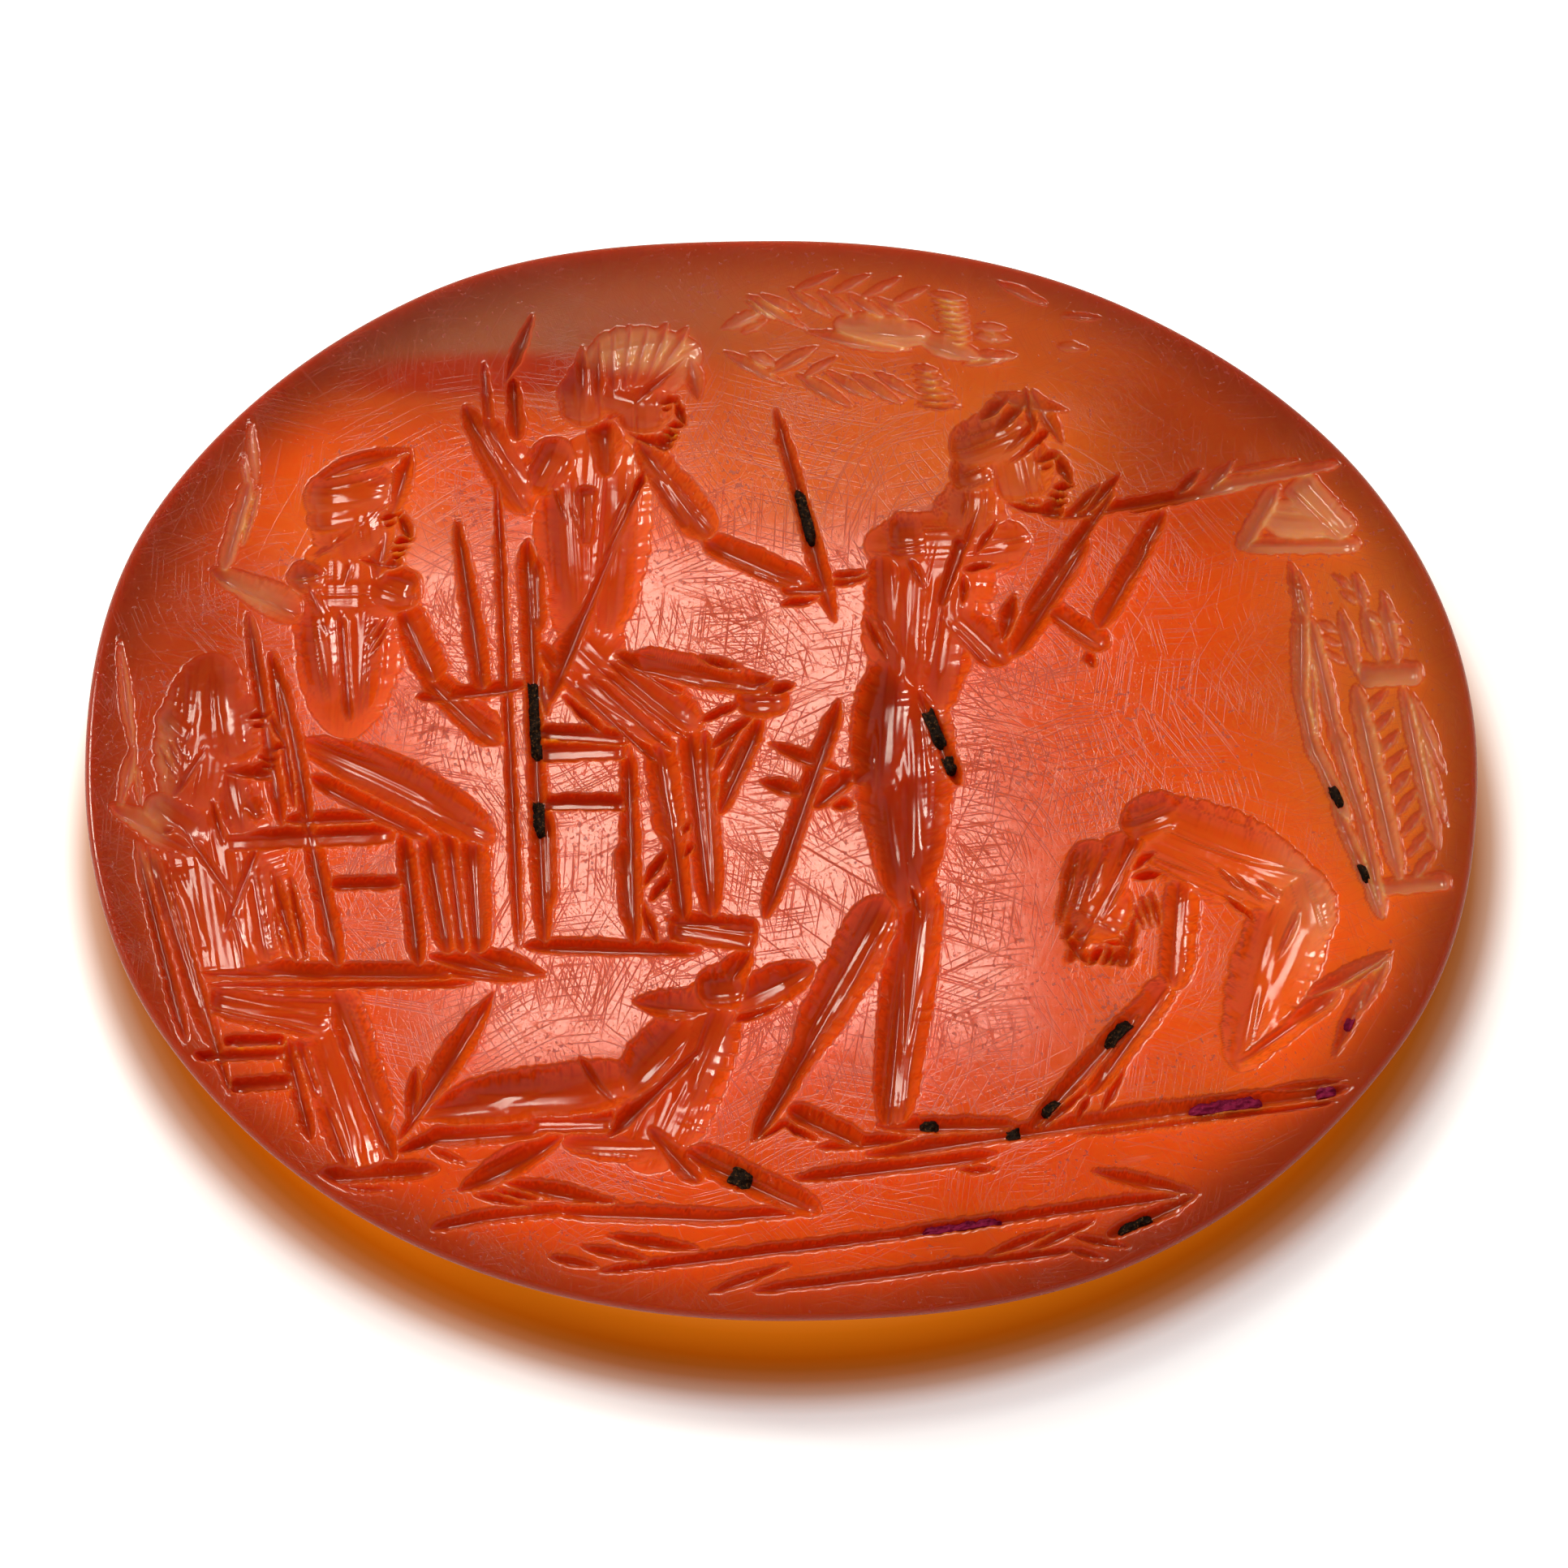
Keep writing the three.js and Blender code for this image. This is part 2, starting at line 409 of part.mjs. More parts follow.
// Height of the domed face over a place on it
function domeHeight(x, y) {
  const unit = new THREE.Vector2(x / faceHalfLength, y / faceHalfWidth);
  unit.multiply(outlineHalf).add(outlineMiddle);
  const reach = Math.min(unit.length() / swellAt(unit.angle()), 1);
  return faceEdgeHeight + domeRise * (1 - reach * reach);
}

// The uncut stone: a revolved section drawn out to the oval outline
function blankGeometry() {
  const section = [new THREE.Vector2(0, 0)];
  const inset = (distance, height) => {
    section.push(new THREE.Vector2(1 - distance / halfWidth, height));
  };
  inset(backInset + backBevel, 0);
  inset(backInset, backBevel);
  inset(0, girdleHeight);
  for (const share of rimTurnShares) {
    const turn = (share * Math.PI) / 2;
    inset(faceInset * (1 - Math.cos(turn)), girdleHeight + rimRounding * Math.sin(turn));
  }
  const faceShare = 1 - faceInset / halfWidth;
  for (const share of [...domeRingShares].reverse().slice(1)) {
    section.push(new THREE.Vector2(faceShare * share, faceEdgeHeight + domeRise * (1 - share * share)));
  }
  section.push(new THREE.Vector2(0, faceEdgeHeight + domeRise));
  const geometry = new THREE.LatheGeometry(section, outlineSteps);
  geometry.rotateX(Math.PI / 2);
  const places = geometry.attributes.position;
  for (let index = 0; index < places.count; index += 1) {
    const spot = new THREE.Vector2(places.getX(index), places.getY(index));
    spot.multiplyScalar(swellAt(spot.angle())).sub(outlineMiddle).divide(outlineHalf);
    places.setX(index, spot.x * halfLength);
    places.setY(index, spot.y * halfWidth);
  }
  return geometry;
}

// A closed solid from a geometry, with its shared corners merged
function solidOf(geometry) {
  const plain = geometry.clone();
  plain.deleteAttribute('normal');
  plain.deleteAttribute('uv');
  const merged = mergeVertices(plain);
  const mesh = new wasm.Mesh({
    numProp: 3,
    vertProperties: new Float32Array(merged.attributes.position.array),
    triVerts: new Uint32Array(merged.index.array),
  });
  return new wasm.Manifold(mesh);
}

// A cut solid's corners and triangles with its slivers taken out: an edge shorter than the shortest wanted
// is closed up, and a triangle flatter than the flattest wanted gives its long edge to the corner opposite.
function withoutSlivers(spots, corners) {
  const faces = [];
  for (let first = 0; first < corners.length; first += 3) {
    faces.push(corners.slice(first, first + 3));
  }
  const around = spots.map(() => new Set());
  faces.forEach((face, index) => face.forEach((corner) => around[corner].add(index)));
  const sharing = (a, b) => [...around[a]].filter((index) => around[b].has(index));
  const neighbours = (a) => {
    const corners = [...around[a]].flatMap((index) => faces[index]);
    return new Set(corners.filter((corner) => corner !== a));
  };
  const setFace = (index, face) => {
    faces[index]?.forEach((corner) => around[corner].delete(index));
    faces[index] = face;
    face?.forEach((corner) => around[corner].add(index));
  };
  const closeEdge = (kept, dropped) => {
    const common = [...neighbours(kept)].filter((corner) => neighbours(dropped).has(corner));
    if (common.length !== 2) {
      return false;
    }
    sharing(kept, dropped).forEach((index) => setFace(index, null));
    [...around[dropped]].forEach((index) => {
      setFace(index, faces[index].map((corner) => (corner === dropped ? kept : corner)));
    });
    return true;
  };
  const turnEdge = (a, b, c, index) => {
    const other = sharing(a, b).find((candidate) => candidate !== index);
    const d = faces[other].find((corner) => corner !== a && corner !== b);
    if (neighbours(c).has(d)) {
      return false;
    }
    setFace(index, [a, d, c]);
    setFace(other, [d, b, c]);
    return true;
  };
  const mend = (index) => {
    const edges = [0, 1, 2].map((turn) => {
      const [a, b, c] = [0, 1, 2].map((step) => faces[index][(turn + step) % 3]);
      return { a, b, c, length: spots[a].distanceTo(spots[b]) };
    });
    edges.sort((one, two) => one.length - two.length);
    const [short, , long] = edges;
    if (short.length < shortestEdge) {
      return closeEdge(short.a, short.b);
    }
    const area = new THREE.Triangle(...faces[index].map((corner) => spots[corner])).getArea();
    return (2 * area) / long.length < flattestTriangle && turnEdge(long.a, long.b, long.c, index);
  };
  for (let pass = 0, mended = true; mended && pass < mendingPasses; pass += 1) {
    mended = false;
    faces.forEach((face, index) => {
      if (faces[index] && mend(index)) {
        mended = true;
      }
    });
  }
  return faces.filter((face) => face);
}

// A geometry from a cut solid
function geometryOf(solid) {
  const mesh = solid.getMesh();
  const spots = [];
  for (let first = 0; first < mesh.vertProperties.length; first += 3) {
    spots.push(new THREE.Vector3().fromArray(mesh.vertProperties, first));
  }
  const faces = withoutSlivers(spots, Array.from(mesh.triVerts));
  const geometry = new THREE.BufferGeometry();
  geometry.setAttribute('position', new THREE.BufferAttribute(new Float32Array(mesh.vertProperties), 3));
  geometry.setIndex(faces.flat());
  geometry.computeVertexNormals();
  return geometry;
}

// A cut's real sizes from its row of shares
function readCut(row, form) {
  const [u0, v0, u1, v1, w0, w1, depth, bow = 0] = row.map((value) => value * hundredthShare);
  return {
    from: new THREE.Vector2(u0 * halfLength, v0 * halfWidth),
    to: new THREE.Vector2(u1 * halfLength, v1 * halfWidth),
    startWidth: w0 * broadWheelWidth,
    endWidth: w1 * broadWheelWidth,
    depth: depth * deepestCut,
    bow,
    form,
  };
}

// Place, sideways direction, width and depth of a cut at a station from -1 to 1
function stationOf(cut, along, widthShare, depthShare) {
  const progress = (along + 1) / 2;
  const way = cut.to.clone().sub(cut.from);
  const side = new THREE.Vector2(-way.y, way.x).normalize();
  const sag = cut.bow * way.length() * (1 - along * along);
  const middle = cut.from.clone().addScaledVector(way, progress).addScaledVector(side, sag);
  const width = (cut.startWidth + (cut.endWidth - cut.startWidth) * progress) * widthShare;
  const { floorShare } = formShares[cut.form];
  return { middle, side, width, depth: cut.depth * depthShare, floorShare };
}

// A point at a height over or under the face
function facePoint(spot, height) {
  return new THREE.Vector3(spot.x, spot.y, domeHeight(spot.x, spot.y) + height);
}

// Corners across a cut: its sides up to a height over the face, and its floor, which is a line if it has
// no width. Narrowing draws the sides and the floor in.
function sectionCorners(place, height, narrowing) {
  const floorHalf = (place.width / 2) * place.floorShare;
  const slope = (place.width / 2 - floorHalf) / place.depth;
  const topHalf = floorHalf + slope * (place.depth + height) - narrowing;
  const beside = (reach) => place.middle.clone().addScaledVector(place.side, reach);
  const floorHeight = narrowing - place.depth;
  const top = [facePoint(beside(topHalf), height), facePoint(beside(-topHalf), height)];
  if (floorHalf === 0) {
    return [...top, facePoint(place.middle, floorHeight)];
  }
  return [...top, facePoint(beside(-floorHalf), floorHeight), facePoint(beside(floorHalf), floorHeight)];
}

// A closed geometry through rings of corners, ending in a point or a flat cap
function loftGeometry(rings, firstPoint, lastPoint) {
  const size = rings[0].length;
  const corners = rings.flat();
  const faces = [];
  for (let ring = 0; ring + 1 < rings.length; ring += 1) {
    for (let corner = 0; corner < size; corner += 1) {
      const next = (corner + 1) % size;
      const low = ring * size;
      const high = low + size;
      faces.push(low + corner, low + next, high + next, low + corner, high + next, high + corner);
    }
  }
  const lastRing = (rings.length - 1) * size;
  const first = corners.push(firstPoint) - 1;
  const last = corners.push(lastPoint) - 1;
  for (let corner = 0; corner < size; corner += 1) {
    const next = (corner + 1) % size;
    faces.push(first, next, corner, last, lastRing + corner, lastRing + next);
  }
  const geometry = new THREE.BufferGeometry();
  const places = corners.flatMap((spot) => spot.toArray());
  geometry.setAttribute('position', new THREE.Float32BufferAttribute(places, 3));
  geometry.setIndex(faces);
  return geometry;
}

// Listed stations of a form, with its tips
function endsOf(form) {
  const { stations, tips } = formShares[form];
  return tips ? [[-1, 0, 0], ...stations, [1, 0, 0]] : stations;
}

// Width and depth shares of a cut at any station, straight between the listed ones
function sharesAt(form, along) {
  const ends = endsOf(form);
  const after = Math.max(ends.findIndex(([station]) => station >= along), 1);
  const [start, startWidth, startDepth] = ends[after - 1];
  const [end, endWidth, endDepth] = ends[after];
  const progress = (along - start) / (end - start);
  return [startWidth + (endWidth - startWidth) * progress, startDepth + (endDepth - startDepth) * progress];
}

// Stations from first to last, with long stretches divided
function stationsBetween(cut, first, last) {
  const listed = endsOf(cut.form).map(([along]) => along);
  const stops = [first, ...listed.filter((along) => along > first && along < last), last];
  const halfCut = cut.to.distanceTo(cut.from) / 2;
  const stations = [first];
  for (let stop = 1; stop < stops.length; stop += 1) {
    const stretch = stops[stop] - stops[stop - 1];
    const bays = Math.ceil((stretch * halfCut) / longestBay);
    for (let bay = 1; bay <= bays; bay += 1) {
      stations.push(stops[stop - 1] + (stretch * bay) / bays);
    }
  }
  return stations;
}

// Point beyond a cut's last ring that closes it: a tip leaves the face just at the cut's end
function closingPoint(cut, along, way) {
  const place = stationOf(cut, along, ...sharesAt(cut.form, along));
  if (!formShares[cut.form].tips) {
    return facePoint(place.middle, (cutOverrun - place.depth) / 2);
  }
  const reach = (1 - way * along) * (1 + cutOverrun / place.depth);
  return facePoint(stationOf(cut, along + way * reach, 1, 1).middle, cutOverrun);
}

// The solid that one cut takes out of the stone
function cutSolid(cut) {
  const ends = endsOf(cut.form);
  const stations = stationsBetween(cut, ends[0][0], ends.at(-1)[0]);
  const ringStations = formShares[cut.form].tips ? stations.slice(1, -1) : stations;
  const rings = ringStations.map((along) => {
    return sectionCorners(stationOf(cut, along, ...sharesAt(cut.form, along)), cutOverrun, 0);
  });
  const first = closingPoint(cut, ringStations[0], -1);
  const last = closingPoint(cut, ringStations.at(-1), 1);
  return solidOf(loftGeometry(rings, first, last));
}

// Cuts of one figure
function figureCuts(shares) {
  return ['hollow', 'lens', 'line', 'bar'].flatMap((form) => shares[form].map((row) => readCut(row, form)));
}

// Evenly stepped cuts between a first and a last row
function combCuts({ first, last, count }) {
  return Array.from({ length: count }, (_, step) => {
    const row = first.map((value, column) => value + ((last[column] - value) * step) / (count - 1));
    return readCut(row, 'lens');
  });
}

// Cuts of a head's plain face
function faceCuts(head) {
  const middle = new THREE.Vector2(head.u * halfLength, head.v * halfWidth).multiplyScalar(hundredthShare);
  const height = head.height * hundredthShare * halfWidth;
  const lean = THREE.MathUtils.degToRad(head.lean);
  const forwards = new THREE.Vector2(Math.cos(lean), Math.sin(lean)).multiplyScalar(head.facing * height);
  const upwards = new THREE.Vector2(-Math.sin(lean), Math.cos(lean)).multiplyScalar(height);
  const place = (ahead, up) => middle.clone().addScaledVector(forwards, ahead).addScaledVector(upwards, up);
  return ['hollow', 'lens'].flatMap((form) => faceShares[form].map(([x0, y0, x1, y1, w0, w1, depth]) => ({
    from: place(x0, y0),
    to: place(x1, y1),
    startWidth: Math.max(w0 * height, finestWheelWidth),
    endWidth: Math.max(w1 * height, finestWheelWidth),
    depth: depth * hundredthShare * deepestCut,
    bow: 0,
    form,
  })));
}

const sceneCuts = [
  leftChiefShares, farLeftChiefShares, crestedChiefShares, hornBlowerShares, crouchingManShares, beardShares,
  houndShares, eagleShares, bowShares, quiverShares, groundShares,
].flatMap(figureCuts);
const combs = [...featherCombShares, ...quiverHatchShares].flatMap(combCuts);
const faces = headShares.flatMap(faceCuts);

// All the cuts joined, halving the list each time
function joinAll(solids) {
  if (solids.length === 1) {
    return solids[0];
  }
  const half = Math.ceil(solids.length / 2);
  return joinAll(solids.slice(0, half)).add(joinAll(solids.slice(half)));
}

// The engraved stone
function gemstoneGeometry() {
  const cutters = [...sceneCuts, ...combs, ...faces].map(cutSolid);
  return geometryOf(solidOf(blankGeometry()).subtract(joinAll(cutters)));
}

// A crumb of residue that fills the lower part of a stretch of a cut, clear of its sides by the film
function crumbGeometry(cut, from, to) {
  const stations = stationsBetween(cut, 2 * from - 1, 2 * to - 1);
  const places = stations.map((along) => stationOf(cut, along, ...sharesAt(cut.form, along)));
  const rings = places.map((place) => {
    return sectionCorners(place, -place.depth * (1 - residueFillShare), residueFilm);
  });
  const caps = [places[0], places.at(-1)].map((place) => {
    return facePoint(place.middle, -place.depth * (1 - residueFillShare / 2));
  });
  const geometry = loftGeometry(rings, ...caps);
  geometry.computeVertexNormals();
  return geometry;
}

const carnelian = new THREE.MeshStandardMaterial({ color: 0xc4400f, roughness: 0.3, metalness: 0 });
const blackResidue = new THREE.MeshStandardMaterial({ color: 0x1d120c, roughness: 0.85, metalness: 0 });
const purpleResidue = new THREE.MeshStandardMaterial({ color: 0x6b1426, roughness: 0.6, metalness: 0 });

// Name, the cut it lies in and that cut's form, where it starts and ends as shares of the cut's length,
// and material
const residueShares = [
  ['black_residue_lance', lanceShares, 'line', 0.37, 0.63, blackResidue],
  ['black_residue_throne_post_upper', thronePostShares, 'line', 0.12, 0.38, blackResidue],
  ['black_residue_throne_post_lower', thronePostShares, 'line', 0.51, 0.63, blackResidue],
  ['black_residue_belt_upper', beltShares, 'line', 0.24, 0.6, blackResidue],
  ['black_residue_belt_lower', beltShares, 'line', 0.68, 0.85, blackResidue],
  ['black_residue_bow_grip', bowGripShares, 'line', 0.62, 0.86, blackResidue],
  ['black_residue_bow_tip', bowTipShares, 'line', 0.24, 0.5, blackResidue],
  ['black_residue_forearm_upper', bentForearmShares, 'line', 0.12, 0.32, blackResidue],
  ['black_residue_forearm_lower', bentForearmShares, 'line', 0.72, 0.84, blackResidue],
  ['black_residue_ground_left', upperGroundShares, 'line', 0.3, 0.44, blackResidue],
  ['black_residue_ground_middle', middleGroundShares, 'line', 0.56, 0.62, blackResidue],
  ['black_residue_foreleg', forelegShares, 'line', 0.34, 0.5, blackResidue],
  ['black_residue_arrow_barb', arrowBarbShares, 'line', 0.12, 0.5, blackResidue],
  ['purple_residue_ground', rightGroundShares, 'line', 0.43, 0.68, purpleResidue],
  ['purple_residue_ground_tip', rightGroundShares, 'line', 0.86, 0.93, purpleResidue],
  ['purple_residue_arrow_shaft', arrowShaftShares, 'line', 0.17, 0.41, purpleResidue],
  ['purple_residue_rear_foot', rearFootShares, 'lens', 0.46, 0.62, purpleResidue],
];

// A named piece of the gem
function piece(name, geometry, material) {
  const mesh = new THREE.Mesh(geometry, material);
  mesh.name = name;
  return mesh;
}

const gem = new THREE.Group();
gem.add(piece('gemstone', gemstoneGeometry(), carnelian));
for (const [name, row, form, from, to, material] of residueShares) {
  gem.add(piece(name, crumbGeometry(readCut(row, form), from, to), material));
}

export default gem;
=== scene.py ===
import math

import bpy
import numpy as np
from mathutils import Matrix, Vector


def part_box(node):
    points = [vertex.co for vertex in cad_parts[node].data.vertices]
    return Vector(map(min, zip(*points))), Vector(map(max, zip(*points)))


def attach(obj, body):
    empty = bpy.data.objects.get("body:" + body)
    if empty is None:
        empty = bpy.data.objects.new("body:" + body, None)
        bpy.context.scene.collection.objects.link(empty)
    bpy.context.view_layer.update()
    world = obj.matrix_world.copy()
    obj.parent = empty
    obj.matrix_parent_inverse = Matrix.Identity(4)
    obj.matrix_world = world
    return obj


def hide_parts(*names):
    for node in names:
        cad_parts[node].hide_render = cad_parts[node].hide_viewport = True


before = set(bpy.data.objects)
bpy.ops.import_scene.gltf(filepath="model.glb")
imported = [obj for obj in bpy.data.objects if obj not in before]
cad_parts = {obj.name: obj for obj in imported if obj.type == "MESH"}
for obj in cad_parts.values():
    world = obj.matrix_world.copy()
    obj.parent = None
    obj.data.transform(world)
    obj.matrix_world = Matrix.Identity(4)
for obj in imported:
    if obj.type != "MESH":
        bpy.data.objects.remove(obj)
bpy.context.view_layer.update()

# Carnelian ringstone with a wheel-cut scene in intaglio: fine surface, residue and studio stage.

bl_info = {
    "name": "Engraved carnelian ringstone",
    "version": (1, 0, 0),
    "blender": (4, 5, 0),
    "location": "3D View > Sidebar > Gemstone",
    "description": "Builds an oval carnelian with its wheel-cut scene, residue and stage",
    "category": "Add Mesh",
}

MM = 0.001

# The stone blank, in mm, as in the solid
STONE_LOW, STONE_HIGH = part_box("gemstone")
STONE_LENGTH = (STONE_HIGH.x - STONE_LOW.x) / MM
STONE_WIDTH = (STONE_HIGH.y - STONE_LOW.y) / MM
STONE_THICKNESS = (STONE_HIGH.z - STONE_LOW.z) / MM
DOME_RISE = 0.76
RIM_ROUNDING = 0.12
FACE_INSET = 0.08
BACK_INSET = 0.95
BACK_BEVEL = 0.18
FACE_EDGE_HEIGHT = STONE_THICKNESS - DOME_RISE
GIRDLE_HEIGHT = FACE_EDGE_HEIGHT - RIM_ROUNDING
FACE_HALF_LENGTH = STONE_LENGTH / 2 - FACE_INSET
FACE_HALF_WIDTH = STONE_WIDTH / 2 - FACE_INSET

# How far the outline swells (+) or draws in (-), every 30 degrees round from +X, as shares of its
# radius
OUTLINE_SWELLS = [
    -0.007, -0.006, -0.013, -0.023, 0.015, 0.012, -0.01, 0.002, 0.009, 0.002, 0.03, 0.015,
]

# Wheels that cut the scene, in mm
BROAD_WHEEL_WIDTH = 1.0
DEEPEST_CUT = 0.46
FINEST_WHEEL_WIDTH = 0.085

